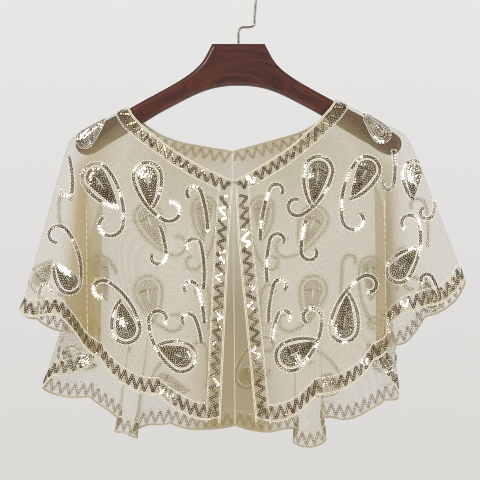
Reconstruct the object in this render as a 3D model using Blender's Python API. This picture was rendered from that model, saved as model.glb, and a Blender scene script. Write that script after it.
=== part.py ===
"""Sheer open-front evening capelet on a wooden hanger, seen from the front along +Y.

The origin is where the hanger's hook bears on a rail. Tables hold millimetres, and the scene metres.
"""

import bpy
import bmesh
import numpy as np
from collections import namedtuple

MM = 0.001
SEAM_GAP = 0.3
HEM_GAP = 0.5
NET_WALL = 1.2
BINDING_WALL = 1.7
BINDING_WIDTH = 2.3
SCALLOPS_A_SIDE = 10
SCALLOP_DEPTH = 9.0
CORNER_SOFTNESS = 0.03
PANEL_STATIONS = 124
PANEL_ROWS = 12
LAST_ROW = 0.988
TURN_WEIGHT = 1.4

HOOK_WIRE = 3.4
HOOK_RADIUS = 20.7
SHANK_X = 0.5
WOOD_THICKNESS = 13.0
WOOD_EDGE_RADIUS = 5.8
WOOD_TOP_Z = -74.6

# One row for each fold line. "rail" is the number of the hem row that the neck or yoke point belongs to.
Point = namedtuple("Point", "rail x y z")

# The closed neckline: down the front from the centre, over the hanger's arm, and along the back.
LEFT_NECK = [
    Point(0, -6.4, -26.0, -232.7),
    Point(2, -50.0, -23.0, -212.0),
    Point(3, -78.0, -18.5, -194.5),
    Point(4, -97.0, -14.5, -180.0),
    Point(5, -109.0, -11.8, -170.0),
    Point(6, -116.5, -9.8, -162.5),
    Point(8, -121.5, -9.0, -156.5),
    Point(10.2, -125.0, -6.6, -149.8),
    Point(11, -126.3, 0.0, -147.4),
    Point(11.9, -125.0, 6.6, -149.6),
    Point(14, -121.0, 9.2, -154.0),
    Point(16, -116.0, 10.2, -159.0),
    Point(19, -104.0, 12.0, -169.5),
    Point(21, -88.0, 13.5, -179.0),
    Point(25, -65.0, 15.0, -187.0),
    Point(29, -38.0, 16.0, -192.0),
    Point(32, -7.0, 17.0, -197.3),
]
RIGHT_NECK = [
    Point(0, -3.6, -26.0, -232.7),
    Point(2, 32.0, -24.0, -211.5),
    Point(3, 58.0, -20.0, -194.5),
    Point(4, 77.0, -16.0, -178.0),
    Point(5, 91.0, -12.5, -164.5),
    Point(6, 99.5, -10.2, -155.0),
    Point(8, 105.0, -9.2, -149.0),
    Point(11.5, 109.8, -6.6, -141.6),
    Point(13, 111.2, 0.0, -139.0),
    Point(14.3, 109.8, 6.6, -141.4),
    Point(17, 105.0, 9.2, -148.0),
    Point(20, 97.0, 11.0, -158.0),
    Point(23, 82.0, 13.0, -170.0),
    Point(26, 62.0, 14.5, -178.5),
    Point(29, 40.0, 15.5, -184.5),
    Point(31, 22.0, 16.2, -189.5),
    Point(34, -7.0, 17.0, -197.3),
]

# The bend where the cloth leaves the hanger and starts to hang, about a third of the way down.
LEFT_YOKE = [
    Point(0, -11.0, -28.0, -300.0),
    Point(2, -57.0, -27.0, -285.0),
    Point(3, -86.0, -26.0, -272.0),
    Point(4, -112.0, -23.5, -260.0),
    Point(5, -140.0, -20.5, -246.0),
    Point(6, -170.0, -19.5, -232.0),
    Point(7, -179.0, -14.0, -221.0),
    Point(8, -186.0, -11.2, -209.0),
    Point(9, -192.0, -10.2, -197.0),
    Point(10, -195.0, -8.0, -187.0),
    Point(11, -194.5, 0.0, -181.0),
    Point(12, -195.0, 8.0, -188.0),
    Point(13, -191.0, 10.4, -199.0),
    Point(14, -182.0, 11.4, -214.0),
    Point(15, -166.0, 12.4, -230.0),
    Point(16, -157.0, 15.5, -238.0),
    Point(17, -157.5, 20.5, -244.0),
    Point(18, -159.5, 26.0, -252.0),
    Point(19, -159.5, 28.5, -256.0),
    Point(20, -154.0, 31.0, -258.0),
    Point(21, -128.0, 31.0, -266.0),
    Point(24, -103.0, 25.0, -280.0),
    Point(27, -87.0, 27.0, -284.0),
    Point(30, -50.0, 27.0, -290.0),
    Point(32, -6.0, 27.0, -294.0),
]
RIGHT_YOKE = [
    Point(0, -0.5, -28.0, -300.0),
    Point(2, 46.0, -27.0, -287.0),
    Point(3, 74.0, -26.0, -274.0),
    Point(4, 103.0, -23.5, -260.0),
    Point(5, 137.0, -21.0, -246.0),
    Point(6, 167.0, -20.0, -236.0),
    Point(7, 171.0, -15.0, -224.0),
    Point(8, 178.0, -12.0, -214.0),
    Point(10, 188.0, -10.6, -200.0),
    Point(12, 195.0, -8.0, -186.0),
    Point(13, 194.5, 0.0, -178.5),
    Point(14, 195.5, 8.0, -186.0),
    Point(15, 193.0, 10.2, -197.0),
    Point(17, 182.0, 11.6, -215.0),
    Point(18, 166.0, 12.6, -227.0),
    Point(19, 158.0, 16.5, -234.0),
    Point(20, 161.0, 21.0, -240.0),
    Point(21, 167.0, 25.0, -246.0),
    Point(22, 160.0, 29.5, -250.0),
    Point(23, 133.0, 29.5, -256.0),
    Point(25, 104.0, 28.0, -268.0),
    Point(27, 86.0, 25.5, -276.0),
    Point(30, 58.0, 27.0, -284.0),
    Point(32, 26.0, 27.0, -290.0),
    Point(34, -6.0, 27.0, -294.0),
]

# The hem's lowest line before its scallops rise from it, one row for each crest, step or tuck.
Hem = namedtuple("Hem", "fold x y z")
LEFT_HEM = [
    Hem("front edge", -21.0, -27.0, -512.0),
    Hem("front hollow", -42.0, -31.0, -507.0),
    Hem("front crest", -66.0, -27.0, -497.0),
    Hem("front hollow", -94.0, -32.0, -485.0),
    Hem("front crest", -122.0, -27.0, -471.0),
    Hem("front hollow", -147.0, -31.0, -455.0),
    Hem("front outer crest", -168.5, -33.0, -432.0),
    Hem("step back", -179.0, -22.0, -417.0),
    Hem("step back", -192.0, -13.5, -404.0),
    Hem("sleeve front", -218.0, -14.5, -391.0),
    Hem("sleeve front", -243.0, -9.0, -388.0),
    Hem("sleeve edge", -251.5, -0.5, -384.0),
    Hem("sleeve rear", -243.0, 7.5, -396.0),
    Hem("sleeve rear", -216.0, 12.0, -406.0),
    Hem("sleeve rear", -190.0, 12.5, -409.0),
    Hem("tuck", -163.5, 15.0, -419.0),
    Hem("tuck", -160.0, 20.0, -427.0),
    Hem("tuck", -163.5, 25.0, -436.0),
    Hem("back lobe", -226.0, 28.0, -472.0),
    Hem("back lobe edge", -229.5, 32.5, -475.0),
    Hem("back lobe", -226.0, 37.0, -477.0),
    Hem("back lobe", -172.0, 38.0, -494.0),
    Hem("back lobe", -150.0, 38.0, -502.0),
    Hem("flute tuck", -138.0, 32.0, -512.0),
    Hem("flute edge", -144.5, 22.0, -527.0),
    Hem("flute crest", -131.0, 14.5, -533.0),
    Hem("flute edge", -117.0, 21.5, -533.0),
    Hem("flute tuck", -122.0, 31.5, -524.0),
    Hem("back hollow", -109.0, 36.5, -518.0),
    Hem("back crest", -84.0, 38.0, -523.0),
    Hem("back hollow", -60.0, 35.0, -523.0),
    Hem("back crest", -34.0, 38.0, -522.0),
    Hem("centre back", -4.0, 36.0, -526.0),
]
RIGHT_HEM = [
    Hem("front edge", 20.0, -27.0, -512.0),
    Hem("front hollow", 42.0, -31.0, -509.0),
    Hem("front crest", 64.0, -27.0, -501.0),
    Hem("front hollow", 90.0, -31.5, -486.0),
    Hem("front crest", 118.0, -27.0, -472.0),
    Hem("front hollow", 151.0, -31.5, -450.0),
    Hem("front outer crest", 168.0, -29.0, -429.0),
    Hem("step back", 166.5, -20.0, -411.0),
    Hem("step back", 173.0, -13.5, -399.0),
    Hem("sleeve front", 194.0, -12.0, -391.0),
    Hem("sleeve front", 214.0, -14.0, -378.0),
    Hem("sleeve front", 238.0, -12.5, -371.0),
    Hem("sleeve front", 256.5, -7.5, -360.0),
    Hem("sleeve edge", 263.0, 0.5, -353.0),
    Hem("sleeve rear", 256.0, 8.0, -365.0),
    Hem("sleeve rear", 234.0, 12.0, -386.0),
    Hem("sleeve rear", 213.0, 12.5, -402.0),
    Hem("sleeve rear", 196.0, 13.5, -418.0),
    Hem("tuck", 163.5, 15.5, -432.0),
    Hem("tuck", 160.0, 20.0, -440.0),
    Hem("tuck", 163.5, 25.0, -449.0),
    Hem("back lobe edge", 186.5, 29.5, -479.0),
    Hem("back lobe edge", 186.5, 36.5, -487.0),
    Hem("back lobe", 150.0, 38.0, -503.0),
    Hem("back lobe", 124.0, 37.0, -511.0),
    Hem("back lobe", 106.0, 38.0, -512.0),
    Hem("flute tuck", 96.5, 33.5, -519.0),
    Hem("flute edge", 101.5, 23.0, -534.0),
    Hem("flute crest", 83.0, 15.0, -541.0),
    Hem("flute edge", 63.5, 21.5, -538.0),
    Hem("flute tuck", 70.0, 32.0, -529.0),
    Hem("back hollow", 56.0, 37.0, -524.0),
    Hem("back crest", 34.0, 38.5, -525.0),
    Hem("back hollow", 14.0, 35.5, -525.0),
    Hem("centre back", -4.0, 36.0, -526.0),
]

SIDES = {
    "left": (LEFT_NECK, LEFT_YOKE, LEFT_HEM),
    "right": (RIGHT_NECK, RIGHT_YOKE, RIGHT_HEM),
}


def coordinates(rows):
    """The x, y and z columns of a table."""
    return np.array([(row.x, row.y, row.z) for row in rows])


def flowing_tangents(before, after, near, far):
    """Slopes at the inner points of a curve whose knots are its own lengths, as at the hem."""
    return (before * far + after * near) / (near + far)


def held_tangents(before, after, near, far):
    """Slopes that never swing past a point, for the neck and yoke, whose knots are the hem's."""
    same_way = before * after > 0
    first = np.where(same_way, before, 1.0)
    second = np.where(same_way, after, 1.0)
    mean = 3 * (near + far) / ((2 * far + near) / first + (far + 2 * near) / second)
    return np.where(same_way, mean, 0.0)


def smooth_curve(knots, points, at, tangents_of):
    """A cubic curve through the points."""
    steps = np.diff(knots)
    slopes = np.diff(points, axis=0) / steps[:, None]
    inner = tangents_of(slopes[:-1], slopes[1:], steps[:-1, None], steps[1:, None])
    tangents = np.vstack([slopes[:1], inner, slopes[-1:]])
    span = np.clip(np.searchsorted(knots, at, side="right") - 1, 0, len(steps) - 1)
    width = steps[span][..., None]
    f = (at - knots[span])[..., None] / width
    start = (1 + 2 * f) * (1 - f) ** 2 * points[span] + f * (1 - f) ** 2 * width * tangents[span]
    end = f * f * (3 - 2 * f) * points[span + 1] - f * f * (1 - f) * width * tangents[span + 1]
    return start + end


class Cape:
    """One half of the cape. Its share runs 0 to 1 along the hem, and its fall 0 to 1 from the neck to the hem."""

    def __init__(self, neck, yoke, hem):
        self.hem_points = coordinates(hem)
        chords = np.linalg.norm(np.diff(self.hem_points, axis=0), axis=1)
        self.hem_knots = np.concatenate([[0], np.cumsum(chords)]) / chords.sum()
        self.hem_length = chords.sum()
        rails = np.arange(len(hem))
        self.neck_points = coordinates(neck)
        self.neck_knots = np.interp([row.rail for row in neck], rails, self.hem_knots)
        self.yoke_points = coordinates(yoke)
        self.yoke_knots = np.interp([row.rail for row in yoke], rails, self.hem_knots)

    def rail(self, share):
        """The neck, yoke and hem points of the fold line at this share."""
        return (
            smooth_curve(self.neck_knots, self.neck_points, share, held_tangents),
            smooth_curve(self.yoke_knots, self.yoke_points, share, held_tangents),
            smooth_curve(self.hem_knots, self.hem_points, share, flowing_tangents),
        )

    def length(self, share):
        neck, yoke, hem = self.rail(share)
        return np.linalg.norm(yoke - neck, axis=-1) + np.linalg.norm(hem - yoke, axis=-1)

    def point(self, share, fall):
        """Two straight runs that meet at the yoke, with the bend there rounded off."""
        neck, yoke, hem = self.rail(share)
        upper = np.linalg.norm(yoke - neck, axis=-1)
        bend = (upper / (upper + np.linalg.norm(hem - yoke, axis=-1)))[..., None]
        fall = fall[..., None]
        first = (yoke - neck) / bend
        second = (hem - yoke) / (1 - bend)

        def ramp(t):
            return (t + np.sqrt(t * t + CORNER_SOFTNESS**2)) / 2

        start = ramp(-bend)
        end = ramp(1 - bend) - (1 - bend)
        rounded = ramp(fall - bend) - start * (1 - fall) - end * fall
        return neck + first * fall + (second - first) * rounded

    def hem_fall(self, share):
        """The fall at the scalloped edge: parabolas that hang between cusps."""
        phase = np.mod(share * SCALLOPS_A_SIDE, 1.0)
        return 1 - SCALLOP_DEPTH * (2 * phase - 1) ** 2 / self.length(share)

    def stations(self, count):
        """Shares along the hem, closer together where it turns."""
        fine = np.linspace(0, 1, 3001)
        steps = np.diff(self.rail(fine)[2], axis=0)
        lengths = np.linalg.norm(steps, axis=1)
        headings = steps / lengths[:, None]
        turns = np.append(np.linalg.norm(np.diff(headings, axis=0), axis=1), 0)
        weight = np.cumsum(lengths / lengths.sum() + TURN_WEIGHT * turns / turns.sum())
        return np.interp(np.linspace(0, 1, count), np.append(0, weight / weight[-1]), fine)

    def inset(self, fall, edge, distance):
        """The share that lies this far in from the front edge (0) or the centre back (1)."""
        step = 1e-4 if edge == 0 else -1e-4
        here = self.point(np.full_like(fall, edge), fall)
        there = self.point(np.full_like(fall, edge + step), fall)
        return edge + step * distance / np.linalg.norm(there - here, axis=-1)


CAPES = {side: Cape(*tables) for side, tables in SIDES.items()}


def material(name, colour, roughness, metallic=0.0):
    made = bpy.data.materials.new(name)
    made.use_nodes = True
    shader = made.node_tree.nodes["Principled BSDF"]
    shader.inputs["Base Color"].default_value = (*colour, 1.0)
    shader.inputs["Roughness"].default_value = roughness
    shader.inputs["Metallic"].default_value = metallic
    return made


def add_mesh(name, mesh, finish, collection):
    made = bpy.data.objects.new(name, mesh)
    made.data.materials.append(finish)
    collection.objects.link(made)
    return made


def grid_faces(rows, columns):
    number = np.arange(rows * columns).reshape(rows, columns)
    corners = (number[:-1, :-1], number[:-1, 1:], number[1:, 1:], number[1:, :-1])
    return np.stack(corners, axis=-1).reshape(-1, 4)


def rim_faces(rows, columns):
    """The triangles that join a wall's two skins, split alike along both long edges so that seams match."""
    number = np.arange(rows * columns).reshape(rows, columns)
    under = rows * columns
    faces = []
    for line, flip in ((number[0], False), (number[-1], True), (number[:, -1], False), (number[:, 0], True)):
        here, there = line[:-1], line[1:]
        pair = [np.stack([there, here, there + under], axis=1), np.stack([here, here + under, there + under], axis=1)]
        faces += [three[:, ::-1] if flip else three for three in pair]
    return np.vstack(faces)


def add_sheet(name, points, wall, finish, collection):
    """A wall of even thickness about a grid of points in millimetres."""
    rows, columns = points.shape[:2]
    normals = np.cross(np.gradient(points, axis=0), np.gradient(points, axis=1))
    normals /= np.linalg.norm(normals, axis=2)[:, :, None]
    skins = np.stack([points - normals * wall / 2, points + normals * wall / 2])
    quads = grid_faces(rows, columns)
    faces = [*quads.tolist(), *(quads[:, ::-1] + rows * columns).tolist(), *rim_faces(rows, columns).tolist()]
    mesh = bpy.data.meshes.new(name)
    mesh.from_pydata((skins.reshape(-1, 3) * MM).tolist(), [], faces)
    return add_mesh(name, mesh, finish, collection)


def panel_points(cape):
    """The net of one half, held in from its bindings and from the centre-back seam."""
    clear = BINDING_WIDTH + SEAM_GAP
    reach = np.append(np.linspace(0, LAST_ROW, PANEL_ROWS - 1), 1.0)[:, None]
    across = cape.stations(PANEL_STATIONS)[None, :]
    first = cape.inset(reach[:, 0], 0, clear)[:, None]
    last = cape.inset(reach[:, 0], 1, SEAM_GAP / 2)[:, None]
    share = first + (last - first) * across
    length = cape.length(share)
    top = clear / length
    bottom = cape.hem_fall(share) - (BINDING_WIDTH + HEM_GAP) / length
    return cape.point(share, top + (bottom - top) * reach)


def edge_strip(cape, share, inner, outer):
    """A band along the neck (positive distances down from it) or the hem (negative, up from it)."""
    distance = np.array([inner, outer])[:, None]
    length = cape.length(share)[None, :]
    base = np.zeros_like(share) if outer > 0 or inner > 0 else cape.hem_fall(share)
    fall = base[None, :] + distance / length
    return cape.point(np.broadcast_to(share, fall.shape), fall)


def front_strip(cape, fall, inner, outer):
    shares = np.stack([cape.inset(fall, 0, distance) for distance in (inner, outer)])
    return cape.point(shares, np.broadcast_to(fall, shares.shape))


def add_cape_half(side, cape, net, braid, collection):
    add_sheet(f"net_{side}", panel_points(cape), NET_WALL, net, collection)
    ends = [cape.inset(np.array([fall]), edge, distance)[0]
            for edge, distance in ((0, 0.0), (1, SEAM_GAP / 2)) for fall in (0.0, 1.0)]
    neck_share = np.linspace(ends[0], ends[2], 70)
    add_sheet(f"neck_binding_{side}", edge_strip(cape, neck_share, 0.0, BINDING_WIDTH),
              BINDING_WALL, braid, collection)
    inner_start = cape.inset(np.array([1.0]), 0, BINDING_WIDTH + SEAM_GAP)[0]
    across = cape.stations(PANEL_STATIONS)
    hem_share = np.append(0.0, inner_start + (ends[3] - inner_start) * across)
    add_sheet(f"hem_binding_{side}", edge_strip(cape, hem_share, -BINDING_WIDTH, 0.0),
              BINDING_WALL, braid, collection)
    edge = np.array([0.0])
    top = (BINDING_WIDTH + SEAM_GAP) / cape.length(edge)[0]
    bottom = cape.hem_fall(edge)[0] - top
    add_sheet(f"front_binding_{side}", front_strip(cape, np.linspace(top, bottom, 24), 0.0, BINDING_WIDTH),
              BINDING_WALL, braid, collection)


def hanger_outline():
    """Half of the outline, top edge outwards and lower edge back, as (x, z)."""
    top = [(0.0, WOOD_TOP_Z), (30.5, WOOD_TOP_Z), (41.0, -92.0), (55.0, -106.0), (75.0, -121.5),
           (100.0, -136.0), (126.0, -149.8), (154.0, -164.0)]
    end_centre = (174.5, -190.0)
    end_radius = 13.0
    angles = np.radians(np.linspace(64, -112, 9))
    end = [(end_centre[0] + end_radius * np.cos(a), end_centre[1] + end_radius * np.sin(a)) for a in angles]
    lower = [(149.0, -190.0), (129.0, -178.5), (111.0, -167.0), (88.0, -152.0),
             (55.0, -133.0), (31.0, -123.5), (0.0, -120.0)]
    half = top + end + lower
    return half + [(-x, z) for x, z in reversed(half[1:-1])]


def add_hanger(wood, steel, collection):
    body = bmesh.new()
    outline = [body.verts.new((x * MM, -WOOD_THICKNESS / 2 * MM, z * MM)) for x, z in hanger_outline()]
    front = body.faces.new(outline)
    grown = bmesh.ops.extrude_face_region(body, geom=[front])
    moved = [item for item in grown["geom"] if isinstance(item, bmesh.types.BMVert)]
    bmesh.ops.translate(body, verts=moved, vec=(0, WOOD_THICKNESS * MM, 0))
    rims = [edge for edge in body.edges if abs(edge.verts[0].co.y - edge.verts[1].co.y) < 1e-6]
    bmesh.ops.bevel(body, geom=rims, offset=WOOD_EDGE_RADIUS * MM, segments=4, profile=0.5, affect="EDGES")
    bmesh.ops.recalc_face_normals(body, faces=body.faces)
    mesh = bpy.data.meshes.new("hanger_body")
    body.to_mesh(mesh)
    body.free()
    add_mesh("hanger_body", mesh, wood, collection)

    centre_z = HOOK_WIRE / 2 - HOOK_RADIUS
    shank = [(SHANK_X, WOOD_TOP_Z + SEAM_GAP), (SHANK_X, -63.0), (2.5, -56.5), (11.5, -53.0), (17.5, -48.0),
             (20.3, -38.0)]
    turn = [(HOOK_RADIUS * np.cos(a), centre_z + HOOK_RADIUS * np.sin(a))
            for a in np.radians(np.linspace(-10, 200, 30))]
    add_wire("hanger_hook", [(x, 0.0, z) for x, z in shank + turn], HOOK_WIRE, steel, collection)


def add_wire(name, route, thickness, finish, collection):
    curve = bpy.data.curves.new(name, "CURVE")
    curve.dimensions = "3D"
    curve.bevel_depth = thickness / 2 * MM
    curve.bevel_resolution = 3
    curve.use_fill_caps = True
    spline = curve.splines.new("POLY")
    spline.points.add(len(route) - 1)
    for place, (x, y, z) in zip(spline.points, route):
        place.co = (x * MM, y * MM, z * MM, 1.0)
    return add_mesh(name, curve, finish, collection)


def add_closure(steel, collection):
    """A dress hook lying over its eye at the neck corners."""
    front_y = -29.2
    hook = [(-9.5, front_y, -234.6), (-6.0, front_y, -234.6), (-2.4, front_y, -234.4),
            (-1.3, front_y, -235.4), (-2.4, front_y, -236.4), (-4.6, front_y, -236.4)]
    add_wire("closure_hook", hook, 0.9, steel, collection)
    eye_turn = [(1.0 + 2.4 * np.cos(a), front_y + 1.3, -235.4 + 2.4 * np.sin(a))
                for a in np.radians(np.linspace(25, 335, 16))]
    add_wire("closure_eye", eye_turn, 0.9, steel, collection)


def main():
    for old in list(bpy.data.objects):
        bpy.data.objects.remove(old)
    collection = bpy.data.collections.new("evening_capelet")
    bpy.context.scene.collection.children.link(collection)
    net = material("champagne_net", (0.62, 0.57, 0.43), 0.6)
    braid = material("ivory_binding", (0.85, 0.82, 0.72), 0.55)
    wood = material("red_brown_lacquer", (0.13, 0.035, 0.025), 0.3)
    steel = material("hook_steel", (0.72, 0.71, 0.70), 0.25, 1.0)
    for side, cape in CAPES.items():
        add_cape_half(side, cape, net, braid, collection)
    add_hanger(wood, steel, collection)
    add_closure(steel, collection)


main()
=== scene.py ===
"""An evening capelet of sequinned net on a wooden hanger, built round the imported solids.

Lengths in tables and helpers are millimetres, and meshes are metres. Left and right are as seen from the front.
"""

from collections import namedtuple

import bpy
import numpy as np
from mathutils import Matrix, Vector


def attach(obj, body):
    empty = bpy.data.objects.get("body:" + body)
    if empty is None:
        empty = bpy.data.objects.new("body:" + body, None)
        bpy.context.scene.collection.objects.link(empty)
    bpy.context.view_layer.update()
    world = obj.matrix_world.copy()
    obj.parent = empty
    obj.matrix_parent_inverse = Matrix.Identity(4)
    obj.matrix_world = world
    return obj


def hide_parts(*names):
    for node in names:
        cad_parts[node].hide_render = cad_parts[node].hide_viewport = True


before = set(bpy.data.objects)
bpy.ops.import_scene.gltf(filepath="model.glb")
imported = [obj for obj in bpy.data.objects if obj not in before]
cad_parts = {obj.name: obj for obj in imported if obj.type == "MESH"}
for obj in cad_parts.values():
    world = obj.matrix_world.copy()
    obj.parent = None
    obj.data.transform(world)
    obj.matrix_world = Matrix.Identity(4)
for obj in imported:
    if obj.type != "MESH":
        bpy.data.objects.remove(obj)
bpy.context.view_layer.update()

scene = bpy.context.scene
scene.view_settings.view_transform = "Standard"
scene.cycles.filter_width = 0.9
scene.cycles.denoising_prefilter = "FAST"
scene.cycles.transparent_max_bounces = 16


# Camera
# A long lens 3 m away, square to the hanger and level with the middle of the cape.
# It sees 0.55 m from side to side, so that the sides of the cape stay parallel.
CAMERA_AWAY = 3.0
HALF_VIEW = 0.276
camera_data = bpy.data.cameras.new("camera")
camera_data.sensor_width = 36.0
camera_data.lens = 36.0 / 2 * CAMERA_AWAY / HALF_VIEW
camera_data.clip_end = 60.0
camera = bpy.data.objects.new("camera", camera_data)
camera.location = (0.0017, -CAMERA_AWAY, -0.3005)
camera.rotation_euler = (np.pi / 2, 0.0, 0.0)
scene.collection.objects.link(camera)
scene.camera = camera


# Room
# A plain pale studio, lighter towards the ceiling, with a wide window to the upper left and two soft fills.
# Bright metal mirrors a darker, patchy room, so that it doesn't look like plaster.
class Shading:
    """The nodes of a material, a world or a group, with short ways to add one. Inputs go by name or number."""

    def __init__(self, tree):
        self.nodes, self.links = tree.nodes, tree.links

    def add(self, kind, inputs=None, **settings):
        """A node with its properties set, and its inputs filled with a value or linked to a socket."""
        node = self.nodes.new("ShaderNode" + kind)
        for name, value in settings.items():
            setattr(node, name, value)
        for name, value in (inputs or {}).items():
            if isinstance(value, bpy.types.NodeSocket):
                self.links.new(value, node.inputs[name])
            else:
                node.inputs[name].default_value = value
        return node

    def math(self, operation, *values):
        """One sum on up to three values."""
        return self.add("Math", dict(enumerate(values)), operation=operation).outputs[0]

    def remap(self, value, low, high, new_low, new_high, **settings):
        """The value moved from one range to another in proportion, and held at the ends."""
        inputs = dict(enumerate((value, low, high, new_low, new_high)))
        return self.add("MapRange", inputs, **settings).outputs[0]

    def blend(self, share, first, second):
        """The colour this share of the way from the first to the second."""
        return self.add("Mix", {0: share, 6: first, 7: second}, data_type="RGBA").outputs[2]

    def between(self, share, first, second):
        """The value this share of the way from the first to the second."""
        return self.add("Mix", {0: share, 2: first, 3: second}).outputs[0]

    def noise(self, place, scale, detail, **more):
        """Smooth noise of this scale, with finer noise added this many times."""
        return self.add("TexNoise", {"Vector": place, "Scale": scale, "Detail": detail, **more}).outputs[0]


world = bpy.data.worlds.new("studio")
world.use_nodes = True
scene.world = world
world.node_tree.nodes.clear()
studio = Shading(world.node_tree)
WALL_LOW = (0.70, 0.69, 0.67, 1)
WALL_HIGH = (0.81, 0.805, 0.80, 1)
view_way = studio.add("TexCoord").outputs["Generated"]
view_height = studio.add("SeparateXYZ", {0: view_way}).outputs["Z"]
wall = studio.blend(studio.remap(view_height, -0.1, 0.1, 0.0, 1.0), WALL_LOW, WALL_HIGH)
room_patch = studio.add("ValToRGB", {0: studio.noise(view_way, 2.6, 2.0)})
room_dark, room_light = room_patch.color_ramp.elements
room_dark.position, room_dark.color = 0.35, (0.20, 0.17, 0.13, 1)
room_light.position, room_light.color = 0.66, (0.72, 0.66, 0.57, 1)
ray = studio.add("LightPath").outputs
seen = studio.add("Background", {"Color": wall, "Strength": 1.0}).outputs[0]
soft_light = studio.add("Background", {"Color": (1.0, 0.985, 0.96, 1), "Strength": 0.82}).outputs[0]
mirrored = studio.add("Background", {"Color": room_patch.outputs[0], "Strength": 1.0}).outputs[0]
around = studio.add("MixShader", {0: ray["Is Glossy Ray"], 1: soft_light, 2: mirrored}).outputs[0]
whole_room = studio.add("MixShader", {0: ray["Is Camera Ray"], 1: around, 2: seen}).outputs[0]
studio.add("OutputWorld", {0: whole_room})

Lamp = namedtuple("Lamp", "name x y z width height watts red green blue")
LAMPS = [
    Lamp("window", -1.5, -1.9, 0.9, 0.9, 0.9, 22.0, 1.0, 0.98, 0.95),
    Lamp("fill", 1.7, -1.6, -0.1, 1.2, 1.4, 9.0, 1.0, 0.97, 0.92),
    Lamp("back_fill", 0.2, 2.0, 0.6, 1.6, 1.2, 14.0, 1.0, 0.98, 0.96),
]
LAMPS_AIM = Vector((0.0, 0.0, -0.3))
for lamp in LAMPS:
    light = bpy.data.lights.new(lamp.name, "AREA")
    light.shape = "RECTANGLE"
    light.size, light.size_y = lamp.width, lamp.height
    light.energy = lamp.watts
    light.color = (lamp.red, lamp.green, lamp.blue)
    placed = bpy.data.objects.new(lamp.name, light)
    placed.location = (lamp.x, lamp.y, lamp.z)
    placed.rotation_euler = (LAMPS_AIM - placed.location).to_track_quat("-Z", "Y").to_euler()
    scene.collection.objects.link(placed)


def new_material(name, finish):
    """A Principled material, with its plain values set, as (material, shading, the Principled node's inputs)."""
    made = bpy.data.materials.new(name)
    made.use_nodes = True
    principled = made.node_tree.nodes["Principled BSDF"].inputs
    for socket, value in finish.items():
        principled[socket].default_value = value
    return made, Shading(made.node_tree), principled


FLOOR_Z = -1.2
FLOOR_RADIUS = 5.0
floor_paint, shading, surface = new_material("floor", {"Base Color": (0.80, 0.785, 0.76, 1), "Roughness": 0.8})
from_middle = shading.add("VectorMath", {0: shading.add("TexCoord").outputs["Object"]}, operation="LENGTH")
fade = shading.remap(
    from_middle.outputs["Value"], 1.6, FLOOR_RADIUS * 0.9, 1.0, 0.0, interpolation_type="SMOOTHSTEP")
shading.links.new(fade, surface["Alpha"])
floor_turn = np.linspace(0, 2 * np.pi, 65)[:-1]
floor_rim = FLOOR_RADIUS * np.stack([np.cos(floor_turn), np.sin(floor_turn), 0 * floor_turn], axis=1)
floor_mesh = bpy.data.meshes.new("floor")
floor_mesh.from_pydata(floor_rim.tolist(), [], [list(range(64))])
floor_mesh.materials.append(floor_paint)
floor = bpy.data.objects.new("floor", floor_mesh)
floor.location = (0, 0, FLOOR_Z)
scene.collection.objects.link(floor)


# Hanger body
# Three lengths of red-brown hardwood, glued end to end beside the neck block.
# The board is cut to its outline, its edges are rounded over, and the whole is lacquered to a shine.
def new_group(name, inputs, outputs):
    """A shader node group with named sockets, each given as (name, type, default)."""
    made = bpy.data.node_groups.new(name, "ShaderNodeTree")
    for direction, sockets in (("INPUT", inputs), ("OUTPUT", outputs)):
        for socket_name, kind, value in sockets:
            kind = "NodeSocket" + kind
            socket = made.interface.new_socket(socket_name, in_out=direction, socket_type=kind)
            if value is not None:
                socket.default_value = value
    entry = made.nodes.new("NodeGroupInput")
    leave = made.nodes.new("NodeGroupOutput")
    return made, Shading(made), entry.outputs, leave.inputs


MM = 0.001


def add_piece(name, points, faces, material, uv=None, shade=True, tints=None, caps=()):
    """A mesh piece from arrays of points in millimetres and faces of one size, and flat end faces of any size."""
    mesh = bpy.data.meshes.new(name)
    corners = np.concatenate([faces.ravel(), *caps]).astype(np.int32)
    counts = np.array([faces.shape[1]] * len(faces) + [len(cap) for cap in caps], dtype=np.int32)
    smooth = np.array([shade] * len(faces) + [False] * len(caps))
    mesh.vertices.add(len(points))
    mesh.vertices.foreach_set("co", (points * MM).astype(np.float32).ravel())
    mesh.loops.add(len(corners))
    mesh.loops.foreach_set("vertex_index", corners)
    mesh.polygons.add(len(counts))
    mesh.polygons.foreach_set("loop_start", np.append(0, np.cumsum(counts)[:-1]).astype(np.int32))
    mesh.polygons.foreach_set("use_smooth", smooth)
    if uv is not None:
        layer = mesh.uv_layers.new(name="cloth")
        layer.data.foreach_set("uv", uv[corners].astype(np.float32).ravel())
    if tints is not None:
        attribute = mesh.color_attributes.new("tint", "FLOAT_COLOR", "POINT")
        attribute.data.foreach_set("color", tints.astype(np.float32).ravel())
    mesh.materials.append(material)
    mesh.update(calc_edges=True)
    mesh.validate()
    piece = bpy.data.objects.new(name, mesh)
    scene.collection.objects.link(piece)
    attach(piece, "root")
    return piece


def hermite(f, start, leaving, end, meeting):
    """The cubic curve between two points, whose slopes at f = 0 and f = 1 are the leaving and the meeting one."""
    return ((2 * f**3 - 3 * f**2 + 1) * start + (f**3 - 2 * f**2 + f) * leaving
            + (3 * f**2 - 2 * f**3) * end + (f**3 - f**2) * meeting)


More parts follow.
